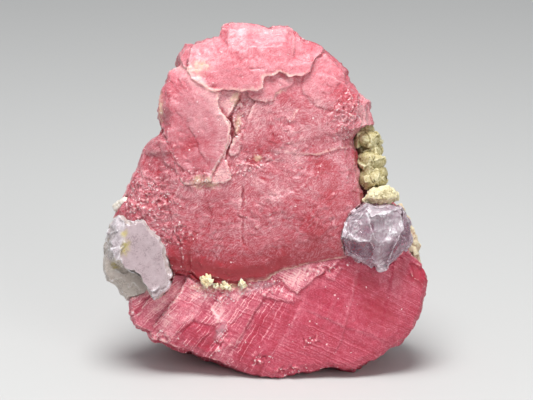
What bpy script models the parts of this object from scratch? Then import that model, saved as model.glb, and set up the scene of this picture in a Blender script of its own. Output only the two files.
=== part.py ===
"""Rhodochrosite specimen: two intergrown pink crystals with fluorite, matrix and small grains.

Lengths are in millimetres on the crystal's own axes: u runs to the right, v up the broad
face and w out of it, towards whoever looks at the face. The whole specimen leans back on
the empty "specimen", and its foot is cut flat on the ground plane.
"""
import math

import bmesh
import bpy
from mathutils import Matrix, Vector, noise

MM = 0.001
LEAN = math.radians(15)
GAP = 0.3
FOOT_V = -47.2
FOOT_W = 1.0
SPECIMEN_CENTRE_U = -0.30
SPECIMEN_CENTRE_Y = 4.25

# ---------------------------------------------------------------- outlines, hand-read (u, v)

UPPER_CRYSTAL = [
    (-39.0, -7.5), (-40.2, -5.0), (-40.0, -3.0), (-38.0, 0.0), (-36.8, 3.5), (-35.8, 6.0),
    (-34.5, 8.0), (-33.6, 11.0), (-33.0, 13.0), (-31.5, 15.5), (-28.2, 17.1), (-27.5, 18.2),
    (-28.5, 22.0), (-28.4, 26.2), (-28.0, 29.0), (-26.3, 32.0), (-25.9, 34.0), (-23.5, 35.3),
    (-23.5, 38.5), (-21.5, 41.4), (-18.0, 42.1), (-14.5, 43.3), (-12.4, 43.3), (-12.0, 46.0),
    (-10.0, 47.1), (-6.8, 46.7), (-3.0, 46.9), (0.5, 45.5), (4.0, 46.3), (6.0, 46.0),
    (8.5, 43.8), (10.0, 42.3), (13.0, 41.9), (16.0, 39.8), (17.9, 37.7), (21.2, 34.8),
    (22.1, 31.5), (25.2, 28.0), (27.8, 26.0), (28.0, 22.0), (28.6, 19.8), (25.0, 18.8),
    (22.9, 16.0), (23.8, 13.0), (24.3, 9.0), (24.7, 5.0), (25.5, 1.5), (26.0, -4.0),
    (25.0, -10.0), (22.5, -14.4), (20.0, -15.6), (16.0, -16.2), (12.0, -16.9), (8.0, -17.8),
    (4.0, -18.6), (1.0, -19.8), (0.0, -20.8), (-5.0, -21.3), (-8.5, -22.3), (-12.0, -21.8),
    (-14.0, -21.0), (-18.0, -20.8), (-20.0, -19.4), (-25.0, -19.1), (-31.0, -17.0), (-36.0, -12.5),
]
LOWER_CRYSTAL = [
    (-36.5, -24.0), (-38.0, -18.0), (-36.0, -11.0), (-28.0, -7.0), (-10.0, -5.0), (12.0, -5.0),
    (28.0, -7.0), (37.5, -11.0), (41.0, -16.5), (42.7, -21.0), (42.0, -25.0), (41.2, -29.5),
    (39.3, -33.0), (36.5, -36.8), (33.0, -38.6), (30.0, -41.5), (28.0, -42.8), (24.0, -44.8),
    (21.0, -45.2), (17.0, -44.6), (12.0, -45.3), (8.0, -46.1), (5.5, -46.4), (4.0, -47.4),
    (1.0, -47.4), (-2.0, -46.8), (-5.0, -45.8), (-8.0, -44.5), (-12.0, -43.0), (-17.0, -41.8),
    (-19.5, -40.2), (-24.0, -39.2), (-28.3, -36.7), (-30.8, -36.6), (-31.0, -34.7),
    (-35.2, -33.3), (-36.3, -30.5), (-36.4, -27.0),
]
REAR_GROWTH = [
    (-34.0, -12.0), (-35.0, -1.0), (-31.0, 9.0), (-26.0, 17.0), (-26.0, 29.0), (-21.0, 38.0),
    (-11.0, 43.0), (3.0, 43.5), (13.0, 38.5), (20.0, 32.0), (25.5, 26.0), (27.5, 19.0),
    (29.0, 13.0), (29.8, 8.0), (31.0, 3.0), (34.5, -1.5), (37.0, -7.5), (39.5, -14.0),
    (40.5, -20.0), (30.0, -26.0), (0.0, -29.0), (-30.0, -25.0),
]
TOP_PLATE = [
    (-20.2, 39.8), (-20.6, 36.0), (-21.0, 34.0), (-18.5, 31.0), (-14.0, 28.4), (-9.0, 28.6),
    (-6.0, 28.1), (-2.0, 28.6), (-1.0, 29.5), (-0.5, 31.8), (1.5, 32.6), (3.5, 33.4),
    (6.0, 32.1), (9.3, 32.3), (11.5, 33.6), (12.3, 36.0), (14.6, 38.4), (15.3, 40.0),
    (13.0, 41.5), (10.0, 42.0), (8.3, 43.5), (6.0, 45.6), (4.0, 45.9), (0.5, 45.1),
    (-3.0, 46.5), (-10.0, 46.7), (-11.6, 45.8), (-12.2, 43.0), (-15.0, 42.6), (-18.6, 41.6),
]
LEFT_PLATE = [
    (-27.2, 18.6), (-28.2, 22.0), (-28.1, 26.2), (-27.7, 29.0), (-26.0, 32.0), (-25.6, 33.8),
    (-23.3, 35.0), (-21.0, 35.2), (-20.0, 33.5), (-17.8, 33.0), (-16.5, 31.0), (-14.8, 29.0),
    (-12.0, 28.0), (-12.7, 25.8), (-12.2, 24.3), (-10.0, 21.2), (-9.2, 18.5), (-9.4, 16.0),
    (-10.3, 13.3), (-11.0, 10.9), (-13.9, 6.9), (-14.4, 5.0), (-18.0, 4.2), (-21.5, 4.0),
    (-23.0, 5.2), (-24.0, 9.0), (-25.6, 14.0),
]
SMALL_FLAKE = [(-14.3, 4.5), (-13.9, 7.0), (-11.3, 10.5), (-10.3, 10.2), (-9.0, 5.5), (-11.5, 4.2)]
PALE_STEP = [
    (-4.5, 27.0), (-5.5, 30.0), (-2.0, 33.0), (6.0, 34.0), (7.2, 31.5), (6.7, 30.0), (5.5, 29.5),
    (3.5, 28.8), (2.0, 27.3), (1.8, 26.0), (-0.5, 25.4),
]
CAVITY = [
    (-12.6, 29.0), (-12.6, 25.0), (-10.6, 21.5), (-10.1, 16.5), (-10.5, 12.8), (-8.5, 15.0),
    (-6.6, 17.6), (-5.5, 20.0), (-4.5, 23.0), (-3.0, 26.0), (0.0, 28.0), (-3.0, 31.0),
]
LOWER_BLADE_CUT = [
    (-21.0, -20.0), (-22.5, -24.0), (-25.0, -27.0), (-28.0, -31.0), (-30.0, -33.5),
    (-32.5, -39.5), (-42.0, -34.0), (-42.0, -18.0), (-30.0, -16.0),
]

LEFT_FLUORITE_FRONT = [
    (-40.8, -6.5), (-39.0, -4.6), (-36.0, -6.7), (-33.0, -6.0), (-31.5, -7.0), (-28.0, -9.7),
    (-26.8, -12.0), (-26.4, -15.0), (-25.0, -19.6), (-25.8, -22.5), (-27.5, -25.0), (-29.5, -26.2),
    (-31.8, -22.5), (-33.0, -20.0), (-37.3, -18.0), (-40.8, -15.5), (-41.6, -11.0),
]
LEFT_FLUORITE_REAR = [
    (-40.6, -6.0), (-42.0, -9.0), (-42.8, -12.0), (-43.5, -17.5), (-43.2, -19.5), (-42.0, -21.5),
    (-40.0, -23.0), (-38.5, -25.0), (-37.0, -26.2), (-33.0, -25.8), (-30.5, -24.0), (-28.0, -18.0),
    (-31.0, -10.0),
]
RIGHT_FLUORITE = [
    (26.0, -0.6), (24.0, -1.8), (21.0, -4.5), (20.0, -8.0), (19.6, -10.0), (21.0, -14.0),
    (24.0, -16.0), (27.5, -17.0), (29.8, -18.5), (31.0, -18.2), (34.5, -15.0), (37.5, -11.8),
    (38.2, -10.0), (37.2, -5.5), (35.5, -1.9), (32.0, -1.0), (29.0, -1.4),
]
RIGHT_EDGE_MATRIX = [
    (35.3, -1.2), (36.5, -2.5), (37.7, -5.0), (38.5, -7.0), (40.2, -10.5), (40.8, -12.3),
    (40.3, -14.0), (41.2, -17.3), (39.0, -18.6), (36.0, -14.0), (34.0, -8.0),
]

# --------------------------- profiles from front to back: (outline scale, w, drop of the ring)

UPPER_PROFILE = [
    (0.30, 9.8, 0.0), (0.55, 9.4, 0.0), (0.75, 8.6, 0.0), (0.88, 7.2, 0.0), (0.96, 5.0, 0.0),
    (1.00, 2.0, 0.0), (1.00, -1.5, 0.0), (0.97, -6.0, 0.5), (0.88, -11.0, 2.0), (0.62, -14.0, 4.0),
    (0.30, -15.0, 6.0),
]
UPPER_FACE_RINGS = 6
LOWER_PROFILE = [
    (0.35, 3.9, 0.0), (0.70, 3.5, 0.0), (0.90, 2.8, 0.0), (0.975, 1.8, 0.0), (1.00, 0.2, 0.0),
    (0.995, -4.0, 0.0), (0.96, -12.0, 0.5), (0.86, -21.0, 3.0), (0.70, -28.0, 6.0),
    (0.36, -32.5, 9.0),
]
REAR_PROFILE = [
    (0.50, -2.5, 0.0), (0.93, -3.0, 0.0), (1.00, -5.0, 0.0), (1.00, -9.0, 0.0),
    (0.92, -14.0, 2.0), (0.70, -19.0, 7.0), (0.35, -22.5, 13.0),
]
LEFT_FLUORITE_FRONT_PROFILE = [
    (0.55, 9.6, 0.0), (0.86, 8.8, 0.0), (1.00, 5.5, 0.0), (0.97, 0.0, 0.0), (0.75, -3.5, 0.0),
]
LEFT_FLUORITE_REAR_PROFILE = [
    (0.60, 3.6, 0.0), (0.90, 2.4, 0.0), (1.00, -0.5, 0.0), (0.96, -6.0, 0.0), (0.65, -10.0, 0.0),
]
RIGHT_FLUORITE_PROFILE = [
    (0.48, 13.4, 0.0), (0.80, 11.2, 0.0), (1.00, 6.0, 0.0), (0.97, 0.5, 0.0), (0.70, -4.0, 0.0),
]
RIGHT_EDGE_PROFILE = [
    (0.50, 1.4, 0.0), (0.90, 0.4, 0.0), (1.00, -3.0, 0.0), (0.93, -8.0, 0.0), (0.60, -11.0, 0.0),
]

# ------------------------------------------------------- lumps: centre (u, v, w), radii, detail

MATRIX_COLUMN_LUMPS = [
    ((27.4, 11.0, -3.2), (2.8, 7.6, 3.4), 3),
    ((26.6, 18.4, -1.2), (2.0, 1.7, 2.2), 2),
    ((26.5, 15.9, 0.2), (3.3, 2.1, 3.0), 3),
    ((28.2, 13.0, -0.6), (2.1, 1.9, 2.6), 2),
    ((27.7, 10.1, 1.0), (3.4, 2.5, 3.3), 3),
    ((28.1, 6.1, 0.2), (3.6, 3.1, 3.7), 3),
]
CALCITE_LUMP = ((30.1, 1.4, 2.8), (5.0, 2.5, 4.2), 3)
SEAM_GRAINS = [
    ((-15.8, -21.2, 5.6), (1.60, 1.50, 1.50), 2),
    ((-13.4, -22.5, 4.9), (0.80, 0.75, 0.90), 2),
    ((-10.5, -22.8, 4.9), (1.45, 1.05, 1.20), 2),
    ((-6.5, -22.2, 4.9), (1.30, 1.00, 1.20), 2),
]
QUARTZ_ENDS = ((-40.1, -2.3, 1.4), (-36.6, -0.1, 3.6))
QUARTZ_RADIUS = 1.15

# ------------------------------------------------------------------ relief, roughness, shading

PLATE_ROOT = 3.0
TOP_PLATE_HEIGHT = 2.0
LEFT_PLATE_HEIGHT = 1.6
SMALL_FLAKE_HEIGHT = 1.0
PALE_STEP_HEIGHT = 0.6
CAVITY_DEPTH = 2.0
LOWER_BLADE_LEVEL = 1.9
CUTTER_TOP = 9.0
DICE = 5
ROUGH_SCALE = 9.0
LUMP_ROUGH_SCALE = 3.0
NOISE_SHIFTS = [Vector((0.0, 0.0, 0.0)), Vector((31.7, 0.0, 5.1)), Vector((0.0, 47.3, 9.7))]
CRYSTAL_ROUGH = 0.5
REAR_ROUGH = 1.0
PLATE_ROUGH = 0.2
FLUORITE_ROUGH = 0.4
MATRIX_ROUGH = 0.7
GRAIN_ROUGH = 0.25
QUARTZ_BEVEL = 0.45
SHARP_ANGLE = math.radians(32)
GROUND_BLOCK = 200.0


# ---------------------------------------------------------------------------- small helpers

def point(u, v, w):
    """Crystal axes to the specimen's local metres: x right, y into the stone, z up."""
    return Vector((u, -w, v)) * MM


def finish(name, colour, roughness, transmission=0.0, ior=1.45):
    """One Principled material; its colour is linear RGB."""
    material = bpy.data.materials.new(name)
    material.use_nodes = True
    shader = material.node_tree.nodes["Principled BSDF"]
    shader.inputs["Base Color"].default_value = (*colour, 1.0)
    shader.inputs["Roughness"].default_value = roughness
    shader.inputs["Metallic"].default_value = 0.0
    shader.inputs["Transmission Weight"].default_value = transmission
    shader.inputs["IOR"].default_value = ior
    return material


def solid(name, mesh, parent):
    """A mesh object that hangs on the leaning empty."""
    piece = bpy.data.objects.new(name, mesh)
    bpy.context.collection.objects.link(piece)
    piece.parent = parent
    return piece


def mesh_from(bm, name):
    """The bmesh as a mesh with its faces pointing out."""
    bmesh.ops.recalc_face_normals(bm, faces=bm.faces)
    mesh = bpy.data.meshes.new(name)
    bm.to_mesh(mesh)
    bm.free()
    return mesh


def rough(position, amount, seed, scale=ROUGH_SCALE):
    """A smooth, repeatable offset for one vertex, up to about the amount in millimetres."""
    place = position / (scale * MM) + Vector((seed, 2.0 * seed, 0.0))
    return Vector([noise.noise(place + shift) for shift in NOISE_SHIFTS]) * amount * MM


def middle(outline):
    """The centre of an outline's box."""
    us = [u for u, v in outline]
    vs = [v for u, v in outline]
    return (min(us) + max(us)) / 2, (min(vs) + max(vs)) / 2


def lofted(name, outline, profile, amount=0.0, seed=0):
    """A closed solid: a ring of the outline at each step of the profile, and a cap at each end."""
    centre_u, centre_v = middle(outline)
    bm = bmesh.new()
    rings = []
    for scale, w, drop in profile:
        ring = []
        for u, v in outline:
            ring_u = centre_u + (u - centre_u) * scale
            ring_v = centre_v + (v - centre_v) * scale - drop
            place = point(ring_u, ring_v, w)
            ring.append(bm.verts.new(place + rough(place, amount, seed)))
        rings.append(ring)
    for front, back in zip(rings, rings[1:]):
        for i, vert in enumerate(front):
            bm.faces.new((front[i - 1], vert, back[i], back[i - 1]))
    caps = [bm.faces.new(rings[0]), bm.faces.new(rings[-1])]
    bmesh.ops.poke(bm, faces=caps)
    bmesh.ops.triangulate(bm, faces=bm.faces)
    return mesh_from(bm, name)


def lump(name, centre, radii, detail, amount, seed):
    """A rounded grain: an icosphere stretched to its radii and roughened."""
    bm = bmesh.new()
    bmesh.ops.create_icosphere(bm, subdivisions=detail, radius=1.0)
    for vert in bm.verts:
        u, v, w = (c + r * x for c, r, x in zip(centre, radii, (vert.co.x, vert.co.z, -vert.co.y)))
        vert.co = point(u, v, w)
        vert.co += rough(vert.co, amount, seed, LUMP_ROUGH_SCALE)
    return mesh_from(bm, name)


def grown(piece, distance):
    """A copy of a piece with its surface moved out, to cut the socket that the piece sits in."""
    mesh = piece.data.copy()
    normals = [vert.normal.copy() for vert in mesh.vertices]
    for vert, normal in zip(mesh.vertices, normals):
        vert.co += normal * distance * MM
    return solid(piece.name + "_socket", mesh, piece.parent)


def boolean_mesh(piece, other, operation, solver):
    """The mesh of the piece with the other one added to it or cut out of it."""
    boolean = piece.modifiers.new(other.name, "BOOLEAN")
    boolean.operation = operation
    boolean.solver = solver
    boolean.object = other
    depsgraph = bpy.context.evaluated_depsgraph_get()
    mesh = bpy.data.meshes.new_from_object(piece.evaluated_get(depsgraph))
    piece.modifiers.remove(boolean)
    return mesh


def combine(piece, others, operation):
    """Union the others into the piece, or cut them out of it, and remove them."""
    for other in others:
        mesh = boolean_mesh(piece, other, operation, "EXACT")
        if not mesh.polygons:
            mesh = boolean_mesh(piece, other, operation, "MANIFOLD")
        piece.data = mesh
        bpy.data.objects.remove(other)


def keep_largest_body(piece):
    """Drop the chips that a cut leaves loose beside the main body."""
    bm = bmesh.new()
    bm.from_mesh(piece.data)
    unseen = set(bm.verts)
    bodies = []
    while unseen:
        body = set()
        edge = [unseen.pop()]
        while edge:
            vert = edge.pop()
            body.add(vert)
            for link in vert.link_edges:
                other = link.other_vert(vert)
                if other in unseen:
                    unseen.remove(other)
                    edge.append(other)
        bodies.append(body)
    bodies.sort(key=len, reverse=True)
    for body in bodies[1:]:
        bmesh.ops.delete(bm, geom=list(body), context="VERTS")
    bm.to_mesh(piece.data)
    bm.free()


def dress(piece, material):
    """Give a piece its one material and shade its shallow edges smooth."""
    piece.data.materials.clear()
    piece.data.materials.append(material)
    for face in piece.data.polygons:
        face.material_index = 0
    piece.data.shade_smooth()
    piece.data.set_sharp_from_angle(angle=SHARP_ANGLE)


# ------------------------------------------------------------------------------- the pieces

def reach(outline, u, v):
    """How far out a place lies between the middle of an outline, 0, and the outline itself, 1."""
    centre = Vector(middle(outline))
    ray = Vector((u, v)) - centre
    shares = [0.0]
    for start, end in zip(outline, outline[1:] + outline[:1]):
        start = Vector(start) - centre
        side = Vector(end) - centre - start
        facing = ray.cross(side)
        if abs(facing) < 1e-9:
            continue
        along = start.cross(ray) / facing
        distance = start.cross(side) / facing
        if -1e-6 <= along <= 1.0 + 1e-6 and distance > 0.0:
            shares.append(1.0 / distance)
    return max(shares)


def face_level(u, v):
    """w of the upper crystal's domed face."""
    share = reach(UPPER_CRYSTAL, u, v)
    front = UPPER_PROFILE[:UPPER_FACE_RINGS]
    if share <= front[0][0]:
        return front[0][1]
    for (inner, high, _), (outer, low, _) in zip(front, front[1:]):
        if share <= outer:
            return high + (low - high) * (share - inner) / (outer - inner)
    return front[-1][1]


def draped(name, outline, low, high, parent, level=None, amount=0.0, seed=0):
    """A slab between two heights, diced into cells so that it can bend over a curved face."""
    bm = bmesh.new()
    base = bm.faces.new([bm.verts.new(point(u, v, low)) for u, v in outline])
    top = bmesh.ops.extrude_face_region(bm, geom=[base])["geom"]
    raised = [thing for thing in top if isinstance(thing, bmesh.types.BMVert)]
    bmesh.ops.translate(bm, vec=point(0.0, 0.0, high - low), verts=raised)
    lines = range(-50, 51, DICE)
    for line in lines if level else ():
        for place, normal in ((point(line, 0.0, 0.0), (1, 0, 0)), (point(0.0, line, 0.0), (0, 0, 1))):
            everything = bm.verts[:] + bm.edges[:] + bm.faces[:]
            bmesh.ops.bisect_plane(bm, geom=everything, plane_co=place, plane_no=normal, dist=1e-6)
    bmesh.ops.triangulate(bm, faces=bm.faces)
    for vert in bm.verts:
        if level:
            vert.co += point(0.0, 0.0, level(vert.co.x / MM, vert.co.z / MM))
        vert.co += rough(vert.co, amount, seed)
    return solid(name, mesh_from(bm, name), parent)


def plate(name, outline, height, parent, seed):
    """A thin crystal plate that lies on the broad face and is rooted in it."""
    return draped(name, outline, -PLATE_ROOT, height, parent, face_level, PLATE_ROUGH, seed)


def pink_loft(name, outline, profile, amount, parent, seed):
    return solid(name, lofted(name, outline, profile, amount, seed), parent)


def rhodochrosite(parent):
    """The two pink crystals and the growth behind them, as one intergrown body."""
    body = pink_loft("rhodochrosite", UPPER_CRYSTAL, UPPER_PROFILE, CRYSTAL_ROUGH, parent, 1)
    lower = pink_loft("lower", LOWER_CRYSTAL, LOWER_PROFILE, CRYSTAL_ROUGH, parent, 2)
    rear = pink_loft("rear", REAR_GROWTH, REAR_PROFILE, REAR_ROUGH, parent, 3)
    blade_cut = draped("blade_cut", LOWER_BLADE_CUT, LOWER_BLADE_LEVEL, CUTTER_TOP, parent)
    cavity = draped("cavity", CAVITY, -CAVITY_DEPTH, CUTTER_TOP, parent, face_level)
    plates = [
        plate("pale_step", PALE_STEP, PALE_STEP_HEIGHT, parent, 4),
        plate("top_plate", TOP_PLATE, TOP_PLATE_HEIGHT, parent, 5),
        plate("left_plate", LEFT_PLATE, LEFT_PLATE_HEIGHT, parent, 6),
        plate("small_flake", SMALL_FLAKE, SMALL_FLAKE_HEIGHT, parent, 7),
    ]
    combine(lower, [blade_cut], "DIFFERENCE")
    combine(body, [cavity], "DIFFERENCE")
    combine(body, [rear, lower] + plates, "UNION")
    return body


def fluorite_left(parent):
    """A cloudy lilac crystal with a greyer one grown into its back."""
    front = lofted("front", LEFT_FLUORITE_FRONT, LEFT_FLUORITE_FRONT_PROFILE, FLUORITE_ROUGH, 8)
    rear = lofted("rear", LEFT_FLUORITE_REAR, LEFT_FLUORITE_REAR_PROFILE, FLUORITE_ROUGH, 9)
    piece = solid("fluorite_left", front, parent)
    combine(piece, [solid("fluorite_rear", rear, parent)], "UNION")
    return piece


def fluorite_right(parent):
    """A glassy crystal that stands out over the junction of the two pink ones."""
    mesh = lofted("fluorite_right", RIGHT_FLUORITE, RIGHT_FLUORITE_PROFILE, FLUORITE_ROUGH, 10)
    return solid("fluorite_right", mesh, parent)


def column_lumps(parent, growth):
    """The lumps of the matrix column, each swollen by the growth in millimetres."""
    lumps = []
    for number, (centre, radii, detail) in enumerate(MATRIX_COLUMN_LUMPS):
        swollen = [radius + growth for radius in radii]
        mesh = lump("matrix_column", centre, swollen, detail, MATRIX_ROUGH, 11 + number)
        lumps.append(solid("matrix_column", mesh, parent))
    return lumps


def matrix_column(parent):
    """Granular rock in a stack of lumps along the right-hand edge."""
    first, *others = column_lumps(parent, 0.0)
    combine(first, others, "UNION")
    return first


def calcite_lump(parent):
    """The cream lump between the matrix column and the right-hand fluorite."""
    return solid("calcite_lump", lump("calcite_lump", *CALCITE_LUMP, MATRIX_ROUGH, 20), parent)


def matrix_edge(parent):
    """The strip of matrix that shows to the right of the right-hand fluorite."""
    mesh = lofted("matrix_edge", RIGHT_EDGE_MATRIX, RIGHT_EDGE_PROFILE, MATRIX_ROUGH, 21)
    return solid("matrix_edge", mesh, parent)


def quartz_crystal(parent):
    """A small white six-sided crystal with blunt ends, on the left-hand edge."""
    low = point(*QUARTZ_ENDS[0])
    high = point(*QUARTZ_ENDS[1])
    axis = high - low
    bm = bmesh.new()
    bmesh.ops.create_cone(bm, cap_ends=True, segments=6, radius1=QUARTZ_RADIUS * MM,
                          radius2=QUARTZ_RADIUS * MM, depth=axis.length)
    end_edges = [edge for edge in bm.edges if edge.verts[0].co.z * edge.verts[1].co.z > 0.0]
    bmesh.ops.bevel(bm, geom=end_edges, offset=QUARTZ_BEVEL * MM, segments=1, affect="EDGES")
    turn = axis.to_track_quat("Z", "Y").to_matrix().to_4x4()
    bmesh.ops.transform(bm, matrix=Matrix.Translation((low + high) / 2) @ turn, verts=bm.verts)
    return solid("quartz_crystal", mesh_from(bm, "quartz_crystal"), parent)


def seam_grains(parent):
    """The cream grains caught in the seam between the two pink crystals."""
    grains = []
    for number, (centre, radii, detail) in enumerate(SEAM_GRAINS, start=1):
        name = "seam_grain_%d" % number
        mesh = lump(name, centre, radii, detail, GRAIN_ROUGH, 30 + number)
        grains.append(solid(name, mesh, parent))
    return grains


def cut_foot_flat(piece):
    """Cut the specimen off on the ground plane, so that it stands on a flat foot."""
    bm = bmesh.new()
    bmesh.ops.create_cube(bm, size=1.0)
    size = GROUND_BLOCK * MM
    bmesh.ops.scale(bm, vec=(size, size, size), verts=bm.verts)
    bmesh.ops.translate(bm, vec=(0.0, 0.0, -size / 2), verts=bm.verts)
    ground = bpy.data.objects.new("ground", mesh_from(bm, "ground"))
    bpy.context.collection.objects.link(ground)
    combine(piece, [ground], "DIFFERENCE")


def clear_scene():
    for thing in list(bpy.data.objects):
        bpy.data.objects.remove(thing)


def leaning_empty():
    """The empty that the pieces hang on: it leans them back and stands the foot on the ground."""
    empty = bpy.data.objects.new("specimen", None)
    bpy.context.collection.objects.link(empty)
    empty.rotation_euler = (-LEAN, 0.0, 0.0)
    foot_height = FOOT_V * math.cos(LEAN) + FOOT_W * math.sin(LEAN)
    empty.location = (-SPECIMEN_CENTRE_U * MM, -SPECIMEN_CENTRE_Y * MM, -foot_height * MM)
    bpy.context.view_layer.update()
    return empty


def build():
    clear_scene()
    specimen = leaning_empty()
    pink = rhodochrosite(specimen)
    left = fluorite_left(specimen)
    right = fluorite_right(specimen)
    column = matrix_column(specimen)
    calcite = calcite_lump(specimen)
    edge = matrix_edge(specimen)
    quartz = quartz_crystal(specimen)
    grains = seam_grains(specimen)
    bpy.context.view_layer.update()

    combine(calcite, [grown(right, GAP)], "DIFFERENCE")
    combine(edge, [grown(right, GAP), grown(calcite, GAP)], "DIFFERENCE")
    combine(column, [grown(calcite, GAP)], "DIFFERENCE")
    combine(quartz, [grown(left, GAP)], "DIFFERENCE")
    set_in_pink = [left, right, calcite, edge, quartz] + grains
    combine(pink, [grown(piece, GAP) for piece in set_in_pink], "DIFFERENCE")
    combine(pink, column_lumps(specimen, GAP), "DIFFERENCE")
    cut_foot_flat(pink)

    pink_finish = finish("rhodochrosite_pink", (0.60, 0.13, 0.19), 0.45)
    fluorite_finish = finish("fluorite_lilac", (0.52, 0.46, 0.56), 0.12, 0.6, 1.43)
    matrix_finish = finish("matrix_olive", (0.40, 0.36, 0.20), 0.85)
    calcite_finish = finish("calcite_cream", (0.75, 0.70, 0.48), 0.75)
    quartz_finish = finish("quartz_white", (0.80, 0.76, 0.70), 0.35, 0.2, 1.54)
    dressed = [(pink, pink_finish), (left, fluorite_finish), (right, fluorite_finish),
               (column, matrix_finish), (edge, matrix_finish), (calcite, calcite_finish),
               (quartz, quartz_finish)]
    dressed += [(grain, calcite_finish) for grain in grains]
    for piece, material in dressed:
        keep_largest_body(piece)
        dress(piece, material)


build()
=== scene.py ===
import math

import bmesh
import bpy
import numpy as np
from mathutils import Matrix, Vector


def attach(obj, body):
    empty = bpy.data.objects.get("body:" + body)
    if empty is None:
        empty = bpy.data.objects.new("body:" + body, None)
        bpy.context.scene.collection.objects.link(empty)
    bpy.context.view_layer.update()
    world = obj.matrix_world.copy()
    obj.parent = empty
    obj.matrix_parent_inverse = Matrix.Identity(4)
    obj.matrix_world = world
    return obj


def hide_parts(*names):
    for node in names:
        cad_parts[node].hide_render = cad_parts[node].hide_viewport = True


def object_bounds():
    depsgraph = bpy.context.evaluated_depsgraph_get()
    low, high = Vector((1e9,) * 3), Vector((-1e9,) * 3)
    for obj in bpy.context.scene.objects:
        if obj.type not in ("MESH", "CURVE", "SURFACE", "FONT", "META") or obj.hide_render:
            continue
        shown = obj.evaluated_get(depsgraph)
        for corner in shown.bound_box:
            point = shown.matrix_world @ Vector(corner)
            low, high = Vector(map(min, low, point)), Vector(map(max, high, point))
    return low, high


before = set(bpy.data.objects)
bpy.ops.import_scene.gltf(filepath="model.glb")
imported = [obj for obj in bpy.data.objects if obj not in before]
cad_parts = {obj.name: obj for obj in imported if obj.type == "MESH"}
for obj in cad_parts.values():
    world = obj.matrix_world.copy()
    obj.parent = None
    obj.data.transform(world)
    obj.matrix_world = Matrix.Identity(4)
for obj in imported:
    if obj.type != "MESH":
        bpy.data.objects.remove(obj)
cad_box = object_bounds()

# Lengths are in millimetres on the crystal axes: u to the right, v up the broad face and w out
# of it. The specimen leans back by LEAN, CRYSTAL_ORIGIN is where u = v = w = 0 lies and the columns
# of AXES are the directions of u, v and w. In the functions p holds points on these axes, one to a
# row, and n their normals.
MM = 0.001
LEAN = math.radians(15)
CRYSTAL_ORIGIN = np.array((0.30, -4.25, 45.333))
AXES = np.array(((1, 0, 0), (0, math.sin(LEAN), -math.cos(LEAN)), (0, math.cos(LEAN), math.sin(LEAN))))
OUTWARD = np.array((0, 0, 1))
BOX_MARGIN = 0.05

# How fine the meshes are, and how often the broken sides and back are smoothed.
VOXEL_PINK = 0.27
VOXEL_FLUORITE = 0.24
MOST_TRIANGLES = 190000
REAR_ROUNDS = 5
BODY = "root"

# ---- lines on the crystals (u, v)

SEAM = [
    (-44, -19), (-25, -19.1), (-20.6, -19.4), (-19.8, -19.7), (-18, -20.8), (-14, -21.1), (-12, -21.8),
    (-8.5, -22.3), (-5, -21.3), (0, -20.8), (1, -19.8), (4, -18.6), (8, -17.8), (12, -16.9), (16, -16.2),
    (20, -15.6), (22.5, -14.4), (44, -11),
]
# Behind SEAM_FRONT_W the seam climbs towards the back.
SEAM_FRONT_W = 4
SEAM_CLIMB = 0.4

# The normals of the three cleavage planes. The first is the broad face's own.
CLEAVAGE_PLANES = [
    np.array((0, 0, 1)), np.array((0.82, -0.493, 0.29)), np.array((0.404, 0.866, -0.294)),
]
SHALLOW = np.array((0.423, 0.906))
# The steep lines fan out: their angle at FAN_V, in degrees, and how much it grows per millimetre of u.
FAN_V = -32
FAN_ANGLE = 60
FAN_GROWTH = 0.62

# Sheets and facets on a face: outline, height and how much paler it is.
UPPER_SHEETS = [
    ([(-6.6, 17.6), (-10.3, 13.1), (-9.4, 11.4), (-7.3, 12), (-6.3, 14.6)], 0.7, 0.06),
    ([(7, 37.4), (7.6, 40), (7.8, 43), (6.5, 45.6), (13, 44), (16.5, 39), (12.6, 36.6), (9.5, 36.3)], -0.6,
      0),
    ([(9.8, 32.6), (12, 33.4), (17, 32.6), (21.5, 29.8), (22.3, 26), (18.6, 23.4), (13.4, 24.4),
      (9.4, 28.2)], 0.35, 0.04),
    ([(-34, 12), (-25, 12.4), (-21.6, 7.6), (-24.6, 0.6), (-31, -2.4), (-40, 2)], -0.5, 0),
    ([(24.6, 28.6), (24.2, 24.6), (25.2, 20.6), (24.6, 17.6), (31, 17.6), (31, 28.6)], -0.9, 0.12),
    ([(-14.3, 4.6), (-13.9, 7), (-11.3, 10.5), (-10.3, 10.2), (-9, 5.5), (-11.5, 4.2)], 0.2, 0.14),
]
LOWER_SHEETS = [
    ([(-20.6, -20.5), (-16.5, -22.5), (-15.6, -25), (-19, -31.2), (-26.5, -37.9), (-30.4, -35.4),
      (-25.4, -28), (-22, -23.4)], 0.25, 0.1),
    ([(-19.4, -31.6), (-13.4, -33.4), (-12.6, -37.4), (-14.4, -43.4), (-20.6, -41.6), (-24.4, -37.6)], -0.3,
      -0.14),
    ([(-10.8, -24), (-5.4, -26.4), (-4.4, -28.4), (-9.2, -32.4), (-13.4, -32.4), (-14.6, -28)], 0.2, 0.12),
    ([(-0.7, -26), (-9.5, -40.6), (-7, -47), (-1.5, -47.8), (-0.7, -43.4), (5.4, -35.4), (9.6, -26.7),
      (4.6, -26.4)], -0.15, -0.1),
    ([(2.6, -19.4), (5.6, -17.6), (11.8, -16.2), (20.4, -14.6), (19, -16.4), (13.9, -19.6), (8, -24.8),
      (5, -22.4)], 0.5, 0.28),
    ([(-1.2, -24.8), (2.2, -22.9), (7, -25.1), (7.4, -27.2), (0, -25.9)], 0.35, 0.14),
    ([(-12, -24.2), (-5.6, -22.6), (-3.4, -24), (-8, -26.6)], 0.25, 0.16),
    ([(15.6, -18.6), (17.6, -17), (20.2, -17.4), (18, -21.2), (15.8, -20.8)], 0.25, 0.2),
    ([(-33, -26.4), (-30.2, -24.4), (-33.2, -29.4), (-35.9, -31.4)], -0.4, -0.16),
    ([(38, -16.6), (43.6, -19), (43.6, -23.8), (39, -20.6)], -0.5, -0.16),
]
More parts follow.
